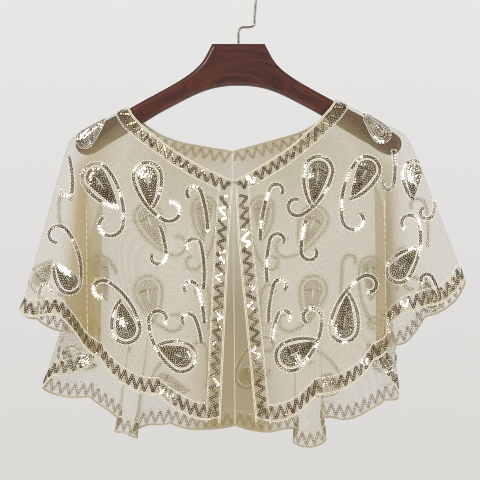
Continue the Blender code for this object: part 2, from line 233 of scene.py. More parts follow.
def through(points, spacing):
    """A smooth line through these points, resampled about this far apart: a cubic curve for each pair."""
    points = np.array(points)
    run = np.append(0, np.cumsum(np.linalg.norm(np.diff(points, axis=0), axis=1)))
    slope = np.gradient(points, run, axis=0)
    at = np.linspace(0, run[-1], int(run[-1] / spacing))
    i = np.clip(np.searchsorted(run, at, side="right") - 1, 0, len(run) - 2)
    wide = (run[i + 1] - run[i])[:, None]
    f = (at - run[i])[:, None] / wide
    return hermite(f, points[i], wide * slope[i], points[i + 1], wide * slope[i + 1])


def ring_faces(rings, columns):
    """Quads between closed rings of points, one ring after another."""
    number = np.arange(rings * columns).reshape(rings, columns)
    turned = np.roll(number, -1, axis=1)
    return np.stack([number[:-1], turned[:-1], turned[1:], number[1:]], axis=-1).reshape(-1, 4)


def end_caps(rings, columns):
    """The two flat faces that close the first and the last ring."""
    return np.arange(columns)[::-1], np.arange(columns) + (rings - 1) * columns


def unit(vectors):
    """The vectors divided by their lengths."""
    return vectors / np.maximum(np.linalg.norm(vectors, axis=-1, keepdims=True), 1e-9)


WOOD_THICKNESS = 13.0
WOOD_EDGE = 5.2
WOOD_CAP_INSET = 0.9
# Half of the outline seen from the front, as (x, z): down from the corner of the neck block, round the end of the
# arm, and back along the underside.
ARM_TOP = [(30.3, -74.8), (34.0, -82.0), (37.8, -89.3), (42.8, -96.8), (49.3, -103.6), (57.5, -110.2),
           (68.0, -117.2), (81.0, -124.8), (95.0, -132.4), (110.0, -140.6), (126.0, -149.4), (154.0, -164.0)]
ARM_END = [(174.5 + 13.0 * np.cos(a), -190.0 + 13.0 * np.sin(a)) for a in np.radians(np.linspace(64, -112, 7))]
ARM_UNDER = [(149.0, -190.0), (129.0, -178.5), (111.0, -167.3), (88.0, -153.4), (71.9, -144.9), (55.0, -136.2),
             (43.0, -130.9), (31.0, -126.9), (16.0, -124.1), (0.0, -123.3)]

grain, shading, given, result = new_group(
    "wood_grain",
    [("Place", "Vector", None), ("Light wood", "Color", (0.104, 0.024, 0.016, 1)),
     ("Dark wood", "Color", (0.036, 0.009, 0.009, 1))],
    [("Colour", "Color", None), ("Roughness", "Float", None), ("Height", "Float", None)],
)
JOINT_LEAN, JOINT_AT = -0.46, -0.1184
PORE_COLOUR = (0.022, 0.007, 0.006, 1)
x, y, z = shading.add("SeparateXYZ", {0: given["Place"]}).outputs
beside = shading.math("ABSOLUTE", x)
past_joint = shading.math("ADD", beside, shading.math("MULTIPLY_ADD", z, JOINT_LEAN, JOINT_AT))
on_arm = shading.math("GREATER_THAN", past_joint, 0.0)
glue_line = shading.remap(shading.math("ABSOLUTE", past_joint), 0.0002, 0.0007, 0.7, 0.0)
# In the block the figure runs in low arches about a point under it, and on each arm it follows the arm's slope.
arch = shading.add("CombineXYZ", {0: shading.math("MULTIPLY", x, 0.42), 2: shading.math("ADD", z, 0.124)})
from_arch = shading.add("VectorMath", {0: arch.outputs[0]}, operation="LENGTH").outputs["Value"]
in_block = shading.add("CombineXYZ", {0: x, 1: y, 2: from_arch}).outputs[0]
folded = shading.add("CombineXYZ", {0: beside, 1: y, 2: z}).outputs[0]
along_arm = shading.add(
    "Mapping", {"Vector": folded, "Rotation": (0.0, -0.48, 0.0), "Location": (0.3, 0.0, 0.2)})
along = shading.add("Mix", {0: on_arm, 4: in_block, 5: along_arm.outputs[0]}, data_type="VECTOR").outputs[1]
fibres = shading.add("Mapping", {"Vector": along, "Scale": (14.0, 120.0, 120.0)}).outputs[0]
figure = shading.noise(fibres, 1.6, 5.0, Roughness=0.6)
pores = shading.remap(shading.noise(fibres, 8.0, 2.0), 0.58, 0.74, 0.0, 0.7)
dark_part = shading.math("MAXIMUM", pores, glue_line)
streaks = shading.blend(shading.remap(figure, 0.36, 0.66, 0.0, 1.0), given["Light wood"], given["Dark wood"])
shading.links.new(shading.blend(dark_part, streaks, PORE_COLOUR), result["Colour"])
shading.links.new(shading.remap(figure, 0.3, 0.7, 0.30, 0.42), result["Roughness"])
shading.links.new(shading.math("MULTIPLY", dark_part, -1.0), result["Height"])

wood, shading, surface = new_material(
    "red_brown_lacquer", {"Specular IOR Level": 0.25, "Coat Weight": 0.75, "Coat Roughness": 0.12})
wood_figure = shading.add("Group", node_tree=grain)
shading.links.new(shading.add("TexCoord").outputs["Object"], wood_figure.inputs["Place"])
shading.links.new(wood_figure.outputs["Colour"], surface["Base Color"])
shading.links.new(wood_figure.outputs["Roughness"], surface["Roughness"])
relief = {"Strength": 0.2, "Distance": 0.0003, "Height": wood_figure.outputs["Height"]}
shading.links.new(shading.add("Bump", relief).outputs[0], surface["Normal"])


def hanger_wood():
    """The flat board with a round edge: its outline is moved inward ring by ring, from the front face to the back,
    by the edge's radius times one less the sine of the angle turned, at a depth that follows its cosine."""
    half = ARM_TOP + ARM_END + ARM_UNDER
    side = through(half + [(-x, z) for x, z in half[-2::-1]], 3.6)
    corner_x, corner_z = ARM_TOP[0]
    block = np.stack([np.linspace(-corner_x, corner_x, 12), np.full(12, corner_z)], axis=1)[1:-1]
    outline = np.vstack([side, block])
    ahead = unit(np.roll(outline, -1, axis=0) - outline)
    inward = np.stack([ahead[:, 1], -ahead[:, 0]], axis=1)
    before = np.roll(inward, 1, axis=0)
    corner = (inward + before) / (1 + (inward * before).sum(axis=1, keepdims=True))
    flat = WOOD_THICKNESS / 2 - WOOD_EDGE
    front = [(WOOD_EDGE * (1 - np.sin(a)), -flat - WOOD_EDGE * np.cos(a)) for a in np.linspace(0, np.pi / 2, 7)]
    front = [(WOOD_EDGE + WOOD_CAP_INSET, -WOOD_THICKNESS / 2), *front]
    profile = np.array(front + [(inset, -y) for inset, y in front[::-1]])
    moved = outline[None] + corner[None] * profile[:, None, 0:1]
    depth = np.broadcast_to(profile[:, None, 1], moved.shape[:2])
    points = np.stack([moved[..., 0], depth, moved[..., 1]], axis=-1)
    size = points.shape[:2]
    piece = add_piece("hanger_wood", points.reshape(-1, 3), ring_faces(*size), wood, caps=end_caps(*size))
    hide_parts("hanger_body")


hanger_wood()


# Hanger hook
# Bright plated steel wire, driven into the top of the block.
# It is cranked once above the wood, so that the hook's bearing is over the middle of the hanger.
WIRE = 3.4
WIRE_SIDES = 12
HOOK_RADIUS = 20.7
HOOK_SHANK = [(0.1, -74.3), (0.2, -68.0), (0.5, -61.2), (1.4, -57.8), (4.2, -56.1), (9.0, -55.8), (14.0, -55.5),
              (17.0, -54.2), (18.3, -51.0), (18.6, -46.5), (19.1, -38.0), (19.7, -31.0)]

steel, shading, surface = new_material("hook_steel", {"Metallic": 1.0})
scuffs = shading.noise(shading.add("TexCoord").outputs["Object"], 60.0, 2.0)
shading.links.new(shading.remap(scuffs, 0.35, 0.7, 0.24, 0.32), surface["Roughness"])
# Painted reflection: the steel's colour is dark where the wire faces the camera and near white at its grazing
# edges.
rim_part = shading.remap(shading.add("Fresnel", {"IOR": 1.6}).outputs[0], 0.05, 0.25, 0.0, 1.0)
painted_steel_reflection = shading.blend(rim_part, (0.30, 0.28, 0.265, 1), (0.92, 0.92, 0.91, 1))
shading.links.new(painted_steel_reflection, surface["Base Color"])


def wire_hook():
    """The bent wire: a circle carried along the shank and round the hook, in the hanger's middle plane."""
    centre_z = WIRE / 2 - HOOK_RADIUS
    bend = np.radians(np.linspace(-4, 187, 18))
    hook = [(HOOK_RADIUS * np.cos(a), centre_z + HOOK_RADIUS * np.sin(a)) for a in bend]
    line = through(HOOK_SHANK + hook, 0.9)
    ahead = unit(np.gradient(line, axis=0))
    turn = np.arange(WIRE_SIDES) * 2 * np.pi / WIRE_SIDES
    x = line[:, 0:1] - ahead[:, 1:2] * np.cos(turn) * WIRE / 2
    z = line[:, 1:2] + ahead[:, 0:1] * np.cos(turn) * WIRE / 2
    y = np.broadcast_to(np.sin(turn) * WIRE / 2, x.shape)
    points = np.stack([x, y, z], axis=-1).reshape(-1, 3)
    size = (len(line), WIRE_SIDES)
    piece = add_piece("hook_wire", points, ring_faces(*size), steel, caps=end_caps(*size))
    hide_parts("hanger_hook")


wire_hook()


# Neck hook and eye
# A small dress hook and its eye of the same bright wire, sewn to the fronts at the neck.
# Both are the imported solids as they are, and only take the steel's finish.
for fastening in ("closure_hook", "closure_eye"):
    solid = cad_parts[fastening]
    solid.data.materials.clear()
    solid.data.materials.append(steel)


# Net
# Each half is one panel of fine champagne tulle, cut as a wide ring sector and hung from the neckline.
# It falls over the hanger's arm as a front, a sleeve and a back, in soft folds that open towards the hem.
# The tables give its fold lines: one row for each crest, step or tuck.
Point = namedtuple("Point", "rail x y z")
LEFT_NECK = [
    Point(0, -6.4, -26.0, -232.7),
    Point(2, -50.0, -23.0, -212.0),
    Point(3, -78.0, -18.5, -194.5),
    Point(4, -97.0, -14.5, -180.0),
    Point(5, -109.0, -11.8, -170.0),
    Point(6, -116.5, -9.8, -162.5),
    Point(8, -121.5, -9.0, -156.5),
    Point(10.2, -125.0, -6.6, -149.8),
    Point(11, -126.3, 0.0, -147.4),
    Point(11.9, -125.0, 6.6, -149.6),
    Point(14, -121.0, 9.2, -154.0),
    Point(16, -116.0, 10.2, -159.0),
    Point(19, -104.0, 12.0, -169.5),
    Point(21, -88.0, 13.5, -179.0),
    Point(25, -65.0, 15.0, -187.0),
    Point(29, -38.0, 16.0, -192.0),
    Point(32, -7.0, 17.0, -197.3),
]
RIGHT_NECK = [
    Point(0, -3.6, -26.0, -232.7),
    Point(2, 32.0, -24.0, -211.5),
    Point(3, 58.0, -20.0, -194.5),
    Point(4, 77.0, -16.0, -178.0),
    Point(5, 91.0, -12.5, -164.5),
    Point(6, 99.5, -10.2, -155.0),
    Point(8, 105.0, -9.2, -149.0),
    Point(11.5, 109.8, -6.6, -141.6),
    Point(13, 111.2, 0.0, -139.0),
    Point(14.3, 109.8, 6.6, -141.4),
    Point(17, 105.0, 9.2, -148.0),
    Point(20, 97.0, 11.0, -158.0),
    Point(23, 82.0, 13.0, -170.0),
    Point(26, 62.0, 14.5, -178.5),
    Point(29, 40.0, 15.5, -184.5),
    Point(31, 22.0, 16.2, -189.5),
    Point(34, -7.0, 17.0, -197.3),
]
LEFT_YOKE = [
    Point(0, -11.0, -28.0, -300.0),
    Point(2, -57.0, -27.0, -285.0),
    Point(3, -86.0, -26.0, -272.0),
    Point(4, -112.0, -23.5, -260.0),
    Point(5, -140.0, -20.5, -246.0),
    Point(6, -170.0, -19.5, -232.0),
    Point(7, -179.0, -14.0, -221.0),
    Point(8, -186.0, -11.2, -209.0),
    Point(9, -192.0, -10.2, -197.0),
    Point(10, -195.0, -8.0, -187.0),
    Point(11, -194.5, 0.0, -181.0),
    Point(12, -195.0, 8.0, -188.0),
    Point(13, -191.0, 10.4, -199.0),
    Point(14, -182.0, 11.4, -214.0),
    Point(15, -166.0, 12.4, -230.0),
    Point(16, -157.0, 15.5, -238.0),
    Point(17, -157.5, 20.5, -244.0),
    Point(18, -159.5, 26.0, -252.0),
    Point(19, -159.5, 28.5, -256.0),
    Point(20, -154.0, 31.0, -258.0),
    Point(21, -128.0, 31.0, -266.0),
    Point(24, -103.0, 25.0, -280.0),
    Point(27, -87.0, 27.0, -284.0),
    Point(30, -50.0, 27.0, -290.0),
    Point(32, -6.0, 27.0, -294.0),
]
RIGHT_YOKE = [
    Point(0, -0.5, -28.0, -300.0),
    Point(2, 46.0, -27.0, -287.0),
    Point(3, 74.0, -26.0, -274.0),
    Point(4, 103.0, -23.5, -260.0),
    Point(5, 137.0, -21.0, -246.0),
    Point(6, 167.0, -20.0, -236.0),
    Point(7, 171.0, -15.0, -224.0),
    Point(8, 178.0, -12.0, -214.0),
    Point(10, 188.0, -10.6, -200.0),
    Point(12, 195.0, -8.0, -186.0),
    Point(13, 194.5, 0.0, -178.5),
    Point(14, 195.5, 8.0, -186.0),
    Point(15, 193.0, 10.2, -197.0),
    Point(17, 182.0, 11.6, -215.0),
    Point(18, 166.0, 12.6, -227.0),
    Point(19, 158.0, 16.5, -234.0),
    Point(20, 161.0, 21.0, -240.0),
    Point(21, 167.0, 25.0, -246.0),
    Point(22, 160.0, 29.5, -250.0),
    Point(23, 133.0, 29.5, -256.0),
    Point(25, 104.0, 28.0, -268.0),
    Point(27, 86.0, 25.5, -276.0),
    Point(30, 58.0, 27.0, -284.0),
    Point(32, 26.0, 27.0, -290.0),
    Point(34, -6.0, 27.0, -294.0),
]
Hem = namedtuple("Hem", "fold x y z")
LEFT_HEM = [
    Hem("front edge", -21.0, -27.0, -512.0),
    Hem("front hollow", -42.0, -31.0, -507.0),
    Hem("front crest", -66.0, -27.0, -497.0),
    Hem("front hollow", -94.0, -32.0, -485.0),
    Hem("front crest", -122.0, -27.0, -471.0),
    Hem("front hollow", -147.0, -31.0, -455.0),
    Hem("front outer crest", -168.5, -33.0, -432.0),
    Hem("step back", -179.0, -22.0, -417.0),
    Hem("step back", -192.0, -13.5, -404.0),
    Hem("sleeve front", -218.0, -14.5, -391.0),
    Hem("sleeve front", -243.0, -9.0, -388.0),
    Hem("sleeve edge", -251.5, -0.5, -384.0),
    Hem("sleeve rear", -243.0, 7.5, -396.0),
    Hem("sleeve rear", -216.0, 12.0, -406.0),
    Hem("sleeve rear", -190.0, 12.5, -409.0),
    Hem("tuck", -163.5, 15.0, -419.0),
    Hem("tuck", -160.0, 20.0, -427.0),
    Hem("tuck", -163.5, 25.0, -436.0),
    Hem("back lobe", -226.0, 28.0, -472.0),
    Hem("back lobe edge", -229.5, 32.5, -475.0),
    Hem("back lobe", -226.0, 37.0, -477.0),
    Hem("back lobe", -172.0, 38.0, -494.0),
    Hem("back lobe", -150.0, 38.0, -502.0),
    Hem("flute tuck", -138.0, 32.0, -512.0),
    Hem("flute edge", -144.5, 22.0, -527.0),
    Hem("flute crest", -131.0, 14.5, -533.0),
    Hem("flute edge", -117.0, 21.5, -533.0),
    Hem("flute tuck", -122.0, 31.5, -524.0),
    Hem("back hollow", -109.0, 36.5, -518.0),
    Hem("back crest", -84.0, 38.0, -523.0),
    Hem("back hollow", -60.0, 35.0, -523.0),
    Hem("back crest", -34.0, 38.0, -522.0),
    Hem("centre back", -4.0, 36.0, -526.0),
]
RIGHT_HEM = [
    Hem("front edge", 20.0, -27.0, -512.0),
    Hem("front hollow", 42.0, -31.0, -509.0),
    Hem("front crest", 64.0, -27.0, -501.0),
    Hem("front hollow", 90.0, -31.5, -486.0),
    Hem("front crest", 118.0, -27.0, -472.0),
    Hem("front hollow", 151.0, -31.5, -450.0),
    Hem("front outer crest", 168.0, -29.0, -429.0),
    Hem("step back", 166.5, -20.0, -411.0),
    Hem("step back", 173.0, -13.5, -399.0),
    Hem("sleeve front", 194.0, -12.0, -391.0),
    Hem("sleeve front", 214.0, -14.0, -378.0),
    Hem("sleeve front", 238.0, -12.5, -371.0),
    Hem("sleeve front", 256.5, -7.5, -360.0),
    Hem("sleeve edge", 263.0, 0.5, -353.0),
    Hem("sleeve rear", 256.0, 8.0, -365.0),
    Hem("sleeve rear", 234.0, 12.0, -386.0),
    Hem("sleeve rear", 213.0, 12.5, -402.0),
    Hem("sleeve rear", 196.0, 13.5, -418.0),
    Hem("tuck", 163.5, 15.5, -432.0),
    Hem("tuck", 160.0, 20.0, -440.0),
    Hem("tuck", 163.5, 25.0, -449.0),
    Hem("back lobe edge", 186.5, 29.5, -479.0),
    Hem("back lobe edge", 186.5, 36.5, -487.0),
    Hem("back lobe", 150.0, 38.0, -503.0),
    Hem("back lobe", 124.0, 37.0, -511.0),
    Hem("back lobe", 106.0, 38.0, -512.0),
    Hem("flute tuck", 96.5, 33.5, -519.0),
    Hem("flute edge", 101.5, 23.0, -534.0),
    Hem("flute crest", 83.0, 15.0, -541.0),
    Hem("flute edge", 63.5, 21.5, -538.0),
    Hem("flute tuck", 70.0, 32.0, -529.0),
    Hem("back hollow", 56.0, 37.0, -524.0),
    Hem("back crest", 34.0, 38.5, -525.0),
    Hem("back hollow", 14.0, 35.5, -525.0),
    Hem("centre back", -4.0, 36.0, -526.0),
]

SCALLOPS_A_SIDE = 10
SCALLOP_DEPTH = 9.0
CORNER_SOFTNESS = 0.03
CENTRE_BACK_GAP = 0.15
TAPE_WIDTH = 2.3


def coordinates(rows):
    """The x, y and z columns of a table."""
    return np.array([(row.x, row.y, row.z) for row in rows])


def flowing_tangents(before, after, near, far):
    """Slopes at the inner points of a curve whose knots are its own lengths, as at the hem."""
    return (before * far + after * near) / (near + far)


def held_tangents(before, after, near, far):
    """Slopes that never swing past a point, for the neck and yoke, whose knots are the hem's: a weighted
    harmonic mean of the slopes before and after, or none where they have opposite signs."""
    same_way = before * after > 0
    first = np.where(same_way, before, 1.0)
    second = np.where(same_way, after, 1.0)
    mean = 3 * (near + far) / ((2 * far + near) / first + (far + 2 * near) / second)
    return np.where(same_way, mean, 0.0)


def smooth_curve(knots, points, at, tangents_of):
    """A cubic curve through the points, each span set by its two ends and the slopes there."""
    steps = np.diff(knots)
    slopes = np.diff(points, axis=0) / steps[:, None]
    inner = tangents_of(slopes[:-1], slopes[1:], steps[:-1, None], steps[1:, None])
    tangents = np.vstack([slopes[:1], inner, slopes[-1:]])
    span = np.clip(np.searchsorted(knots, at, side="right") - 1, 0, len(steps) - 1)
    width = steps[span][..., None]
    f = (at - knots[span])[..., None] / width
    start = (1 + 2 * f) * (1 - f) ** 2 * points[span] + f * (1 - f) ** 2 * width * tangents[span]
    end = f * f * (3 - 2 * f) * points[span + 1] - f * f * (1 - f) * width * tangents[span + 1]
    return start + end


class Cape:
    """One half of the cape. Its share runs 0 to 1 along the hem, and its fall 0 to 1 from neck to hem."""

    def __init__(self, neck, yoke, hem, outward, seed):
        self.outward = outward
        self.seed = seed
        self.hem_points = coordinates(hem)
        chords = np.linalg.norm(np.diff(self.hem_points, axis=0), axis=1)
        self.hem_knots = np.concatenate([[0], np.cumsum(chords)]) / chords.sum()
        rails = np.arange(len(hem))
        self.neck_points = coordinates(neck)
        self.neck_knots = np.interp([row.rail for row in neck], rails, self.hem_knots)
        self.yoke_points = coordinates(yoke)
        self.yoke_knots = np.interp([row.rail for row in yoke], rails, self.hem_knots)

    def rail(self, share):
        """The neck, yoke and hem points of the fold line at this share."""
        return (
            smooth_curve(self.neck_knots, self.neck_points, share, held_tangents),
            smooth_curve(self.yoke_knots, self.yoke_points, share, held_tangents),
            smooth_curve(self.hem_knots, self.hem_points, share, flowing_tangents),
        )

    def length(self, share):
        """The length of the fold line: from neck to yoke, and from yoke to hem."""
        neck, yoke, hem = self.rail(share)
        return np.linalg.norm(yoke - neck, axis=-1) + np.linalg.norm(hem - yoke, axis=-1)

    def plain(self, share, fall):
        """Two straight runs that meet at the yoke, with the bend there rounded off."""
        neck, yoke, hem = self.rail(share)
        upper = np.linalg.norm(yoke - neck, axis=-1)
        bend = (upper / (upper + np.linalg.norm(hem - yoke, axis=-1)))[..., None]
        fall = fall[..., None]
        first = (yoke - neck) / bend
        second = (hem - yoke) / (1 - bend)

        def ramp(t):
            """Nothing before 0 and t after it, with the corner rounded."""
            return (t + np.sqrt(t * t + CORNER_SOFTNESS**2)) / 2

        start = ramp(-bend)
        end = ramp(1 - bend) - (1 - bend)
        rounded = ramp(fall - bend) - start * (1 - fall) - end * fall
        return neck + first * fall + (second - first) * rounded

    def facing(self, share, fall):
        """The outward direction, across the slopes along the share and the fall."""
        step = 1e-3
        along = self.plain(np.clip(share + step, 0, 1), fall) - self.plain(np.clip(share - step, 0, 1), fall)
        down = self.plain(share, fall + step) - self.plain(share, fall - step)
        return unit(np.cross(down, along)) * self.outward

    def ripple(self, share, fall):
        """The soft folds of hanging net: three waves across, nothing at the neck and full at the hem."""
        grow = np.clip(fall, 0, 1.05) ** 1.4
        wave = (0.62 * np.sin(2 * np.pi * 17.3 * share + 1.6 * np.sin(3.1 * fall + self.seed) + self.seed)
                + 0.38 * np.sin(2 * np.pi * 29.7 * share - 1.9 * fall + 2.4 * self.seed)
                + 0.22 * np.sin(2 * np.pi * 8.1 * share + 7.0 * fall + 0.7 * self.seed))
        held = np.clip(share / 0.03, 0, 1) * np.clip((1 - share) / 0.02, 0, 1)
        return 0.95 * wave * grow * held

    def place(self, share, fall, lift=0.0):
        """The point on the rippled cloth, lifted outward by so many millimetres."""
        out = self.facing(share, fall)
        return self.plain(share, fall) + out * (self.ripple(share, fall) + lift)[..., None]

    def hem_fall(self, share):
        """The fall at the scalloped edge: parabolas that hang between cusps."""
        phase = np.mod(share * SCALLOPS_A_SIDE, 1.0)
        return 1 - SCALLOP_DEPTH * (2 * phase - 1) ** 2 / self.length(share)

    def stations(self, count):
        """Shares along the hem, closer together where it turns: even steps of its length plus its turning."""
        fine = np.linspace(0, 1, 3001)
        steps = np.diff(self.rail(fine)[2], axis=0)
        lengths = np.linalg.norm(steps, axis=1)
        headings = steps / lengths[:, None]
        turns = np.append(np.linalg.norm(np.diff(headings, axis=0), axis=1), 0)
        weight = np.cumsum(lengths / lengths.sum() + 0.9 * turns / turns.sum())
        return np.interp(np.linspace(0, 1, count), np.append(0, weight / weight[-1]), fine)

    def inset(self, fall, edge, distance):
        """The share that lies this far in from the front edge (0) or the centre back (1)."""
        step = 1e-4 if edge == 0 else -1e-4
        here = self.plain(np.full_like(fall, edge), fall)
        there = self.plain(np.full_like(fall, edge + step), fall)
        return edge + step * distance / np.linalg.norm(there - here, axis=-1)


CAPES = {
    "left": Cape(LEFT_NECK, LEFT_YOKE, LEFT_HEM, -1, 0.8),
    "right": Cape(RIGHT_NECK, RIGHT_YOKE, RIGHT_HEM, 1, 2.9),
}


def grid_faces(rows, columns, outward):
    """Quads of a grid, turned so that their front is the cloth's right side."""
    number = np.arange(rows * columns).reshape(rows, columns)
    corners = (number[:-1, :-1], number[:-1, 1:], number[1:, 1:], number[1:, :-1])
    quads = np.stack(corners, axis=-1).reshape(-1, 4)
    return quads if outward < 0 else quads[:, ::-1]


tulle, shading, given, result = new_group(
    "tulle_mesh",
    [("Place", "Vector", None), ("Pitch", "Float", 0.0013), ("Thread share", "Float", 0.20)],
    [("Thread", "Float", None)],
)
# Two sets of threads cross on the diagonals: each is where a count of pitches is near a half.
across, down, _ = shading.add("SeparateXYZ", {0: given["Place"]}).outputs
half_thread = shading.math("MULTIPLY", given["Thread share"], 0.5)
threads = []
for lean in ("ADD", "SUBTRACT"):
    count = shading.math("DIVIDE", shading.math(lean, across, down), given["Pitch"])
    from_thread = shading.math("ABSOLUTE", shading.math("SUBTRACT", shading.math("FRACT", count), 0.5))
    threads.append(shading.math("LESS_THAN", from_thread, half_thread))
shading.links.new(shading.math("MAXIMUM", *threads), result["Thread"])

# The tint's red says how gathered the net is: there it closes up, and a darker golden is painted in as the shade
# that falls in the folds. Its green says how sheer it is. Seen edge-on, threads close up.
net, shading, surface = new_material("champagne_net", {"Roughness": 0.62, "Sheen Weight": 0.2})
OUTSIDE_IOR, INSIDE_IOR = 1.7, 0.588
weave_place = shading.add("UVMap", uv_map="cloth").outputs[0]
weave = shading.add("Group", {"Place": weave_place}, node_tree=tulle)
tint = shading.add("VertexColor", layer_name="tint").outputs["Color"]
gathered_and_shaded, sheer, _ = shading.add("SeparateColor", {0: tint}).outputs
wrong_way = shading.add("NewGeometry").outputs["Backfacing"]
cloudy = shading.noise(weave_place, 22.0, 3.0)
champagne = shading.blend(cloudy, (0.45, 0.395, 0.228, 1), (0.525, 0.465, 0.28, 1))
# Painted shade: the inner face, inside the cape, is painted a flat darker tan.
sides_with_inner_shade = shading.blend(wrong_way, champagne, (0.45, 0.385, 0.225, 1))
# Painted shade: where the tint's red is high, the colour is pulled towards a dark golden.
shading.links.new(shading.blend(gathered_and_shaded, sides_with_inner_shade, (0.36, 0.265, 0.085, 1)), surface["Base Color"])
grazing = [shading.add("Fresnel", {"IOR": ior}).outputs[0] for ior in (OUTSIDE_IOR, INSIDE_IOR)]
edge_on = shading.remap(shading.between(wrong_way, *grazing), 0.07, 0.6, 0.0, 0.8)
closed_up = shading.math("MAXIMUM", edge_on, shading.remap(gathered_and_shaded, 0.0, 1.0, 0.0, 0.8))
thread_cover = shading.remap(weave.outputs["Thread"], 0.0, 1.0, 0.10, 0.64)
cover = shading.math("MAXIMUM", thread_cover, closed_up)
shading.links.new(shading.math("MULTIPLY", cover, shading.remap(sheer, 0.0, 1.0, 1.0, 0.55)), surface["Alpha"])

# Where the net is gathered or folded deep, it lies closer, and a darker golden is painted on as the shade that
# falls there: at the centre back and in the side folds. Top and bottom say how much at the neck and at the hem.
GatherAndShade = namedtuple("GatherAndShade", "share spread top bottom")
GATHERS_AND_SHADE = {
    "left": [
        GatherAndShade(1.0, 0.06, 0.3, 1.6),
        GatherAndShade(0.85, 0.28, 0.85, -1.5),
        GatherAndShade(0.250, 0.040, 0.3, 2.2),
        GatherAndShade(0.512, 0.035, 0.1, 0.6),
        GatherAndShade(0.84, 0.02, 0.0, 0.3),
    ],
    "right": [
        GatherAndShade(1.0, 0.06, 0.3, 1.6),
        GatherAndShade(0.85, 0.28, 0.85, -1.5),
        GatherAndShade(0.256, 0.038, 0.2, 1.8),
        GatherAndShade(0.594, 0.035, 0.1, 0.6),
        GatherAndShade(0.84, 0.02, 0.0, 0.3),
    ],
}
# The sleeves hang single and open, so they look sheerer: the middle and half width of the stretch, by share.
SHEER = {"left": (0.37, 0.09), "right": (0.40, 0.13)}
NET_ROWS = 120
NET_COLUMNS = 620
NET_INSET = 0.8


def net_cloth(side, cape):
    """The panel as a grid from neck to hem, its weave laid out by the distance along each row and column."""
    reach = np.linspace(0, 1, NET_ROWS)[:, None]
    first = cape.inset(reach[:, 0], 0, NET_INSET)[:, None]
    last = cape.inset(reach[:, 0], 1, CENTRE_BACK_GAP)[:, None]
    share = first + (last - first) * cape.stations(NET_COLUMNS)[None, :]
    length = cape.length(share)
    top = NET_INSET / length
    bottom = cape.hem_fall(share) - NET_INSET / length
    points = cape.place(share, top + (bottom - top) * reach)
    across = np.cumsum(np.linalg.norm(np.diff(points, axis=1, prepend=points[:, :1]), axis=2), axis=1)
    down = np.cumsum(np.linalg.norm(np.diff(points, axis=0, prepend=points[:1]), axis=2), axis=0)
    uv = np.stack([across, down], axis=2).reshape(-1, 2) * MM
    gather_and_shade = np.zeros_like(share)
    for fold in GATHERS_AND_SHADE[side]:
        near = np.exp(-(((share - fold.share) / fold.spread) ** 2))
        gather_and_shade = np.maximum(gather_and_shade, near * (fold.top + (fold.bottom - fold.top) * reach))
    gather_and_shade = np.clip(gather_and_shade, 0, 1).reshape(-1, 1)
    middle, wide = SHEER[side]
    sheer = np.exp(-(((share - middle) / wide) ** 4)).reshape(-1, 1)
    tints = np.hstack([gather_and_shade, sheer, 0 * sheer, np.ones_like(gather_and_shade)])
    faces = grid_faces(NET_ROWS, NET_COLUMNS, cape.outward)
    piece = add_piece(f"net_cloth_{side}", points.reshape(-1, 3), faces, net, uv=uv, tints=tints)
    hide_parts(f"net_{side}")
    return piece


cloths = {side: net_cloth(side, cape) for side, cape in CAPES.items()}


# Binding
# Narrow sheer tape, folded over the raw edge of the neck, the fronts and the scalloped hem.
# It is stitched down under two rows of ivory cord, which stand a little above it.
TAPE_THICKNESS = 0.7
CORD_RADIUS = 0.50
CORD_LIFT = 0.35
CORDS_INWARD = (0.45, TAPE_WIDTH - 0.35)
Run = namedtuple("Run", "edge start stop spacing")
TAPE_RUNS = [Run("neck", 0.0, 0.0, 1.5), Run("front", 2.5, 2.5, 2.0), Run("hem", 0.0, 0.0, 1.2)]


class Line:
    """A line along an edge of one half, by the distance along it, at any distance in from the edge."""

    def __init__(self, cape, edge):
        self.cape, self.edge = cape, edge
        self.fine = np.linspace(0.0, 1.0, 1600)
        share, fall = self.at_fraction(self.fine, np.zeros_like(self.fine))
        steps = np.linalg.norm(np.diff(cape.plain(share, fall), axis=0), axis=1)
        self.run = np.append(0, np.cumsum(steps))
        self.length = self.run[-1]

    def at_fraction(self, t, inward):
        """The share and fall of a point a fraction along the edge and so many millimetres in from it."""
        if self.edge == "front":
            return self.cape.inset(t, 0, inward), t
        if self.edge == "neck":
            return t, inward / self.cape.length(t)
        return t, self.cape.hem_fall(t) - inward / self.cape.length(t)

    def at(self, distance, inward):
        """The share and fall at this distance along the edge."""
        return self.at_fraction(np.interp(distance, self.run, self.fine), inward)


def frames_along(cape, share, fall, lift=0.0):
    """Points on the cloth with the direction along them, across them in the cloth, and out of it."""
    points = cape.place(share, fall, lift)
    ahead = unit(np.gradient(points, axis=0))
    out = cape.facing(share, fall)
    across = unit(np.cross(out, ahead))
    return points, ahead, across, out


def swept(cape, share, fall, profile, lift=0.0):
    """A strip of this closed outline, in millimetres across and out, carried along a path on the cloth."""
    points, _, across, out = frames_along(cape, share, fall, lift)
    sideways = across[:, None, :] * profile[None, :, 0:1]
    ring = points[:, None, :] + sideways + out[:, None, :] * profile[None, :, 1:2]
    return ring.reshape(-1, 3), ring_faces(*ring.shape[:2])


def joined(pairs):
    """Several (points, faces) made into one."""
    points, faces, total = [], [], 0
    for p, f in pairs:
        points.append(p)
        faces.append(f + total)
        total += len(p)
    return np.vstack(points), np.vstack(faces)


ivory, shading, surface = new_material("ivory_binding", {"Roughness": 0.6, "Sheen Weight": 0.2})
fibre = shading.noise(shading.add("TexCoord").outputs["Object"], 900.0, 2.0)
shading.links.new(shading.blend(fibre, (0.68, 0.62, 0.47, 1), (0.84, 0.80, 0.66, 1)), surface["Base Color"])
sheer_tape, _, _ = new_material(
    "sheer_tape", {"Base Color": (0.58, 0.52, 0.38, 1), "Roughness": 0.55, "Alpha": 0.72})


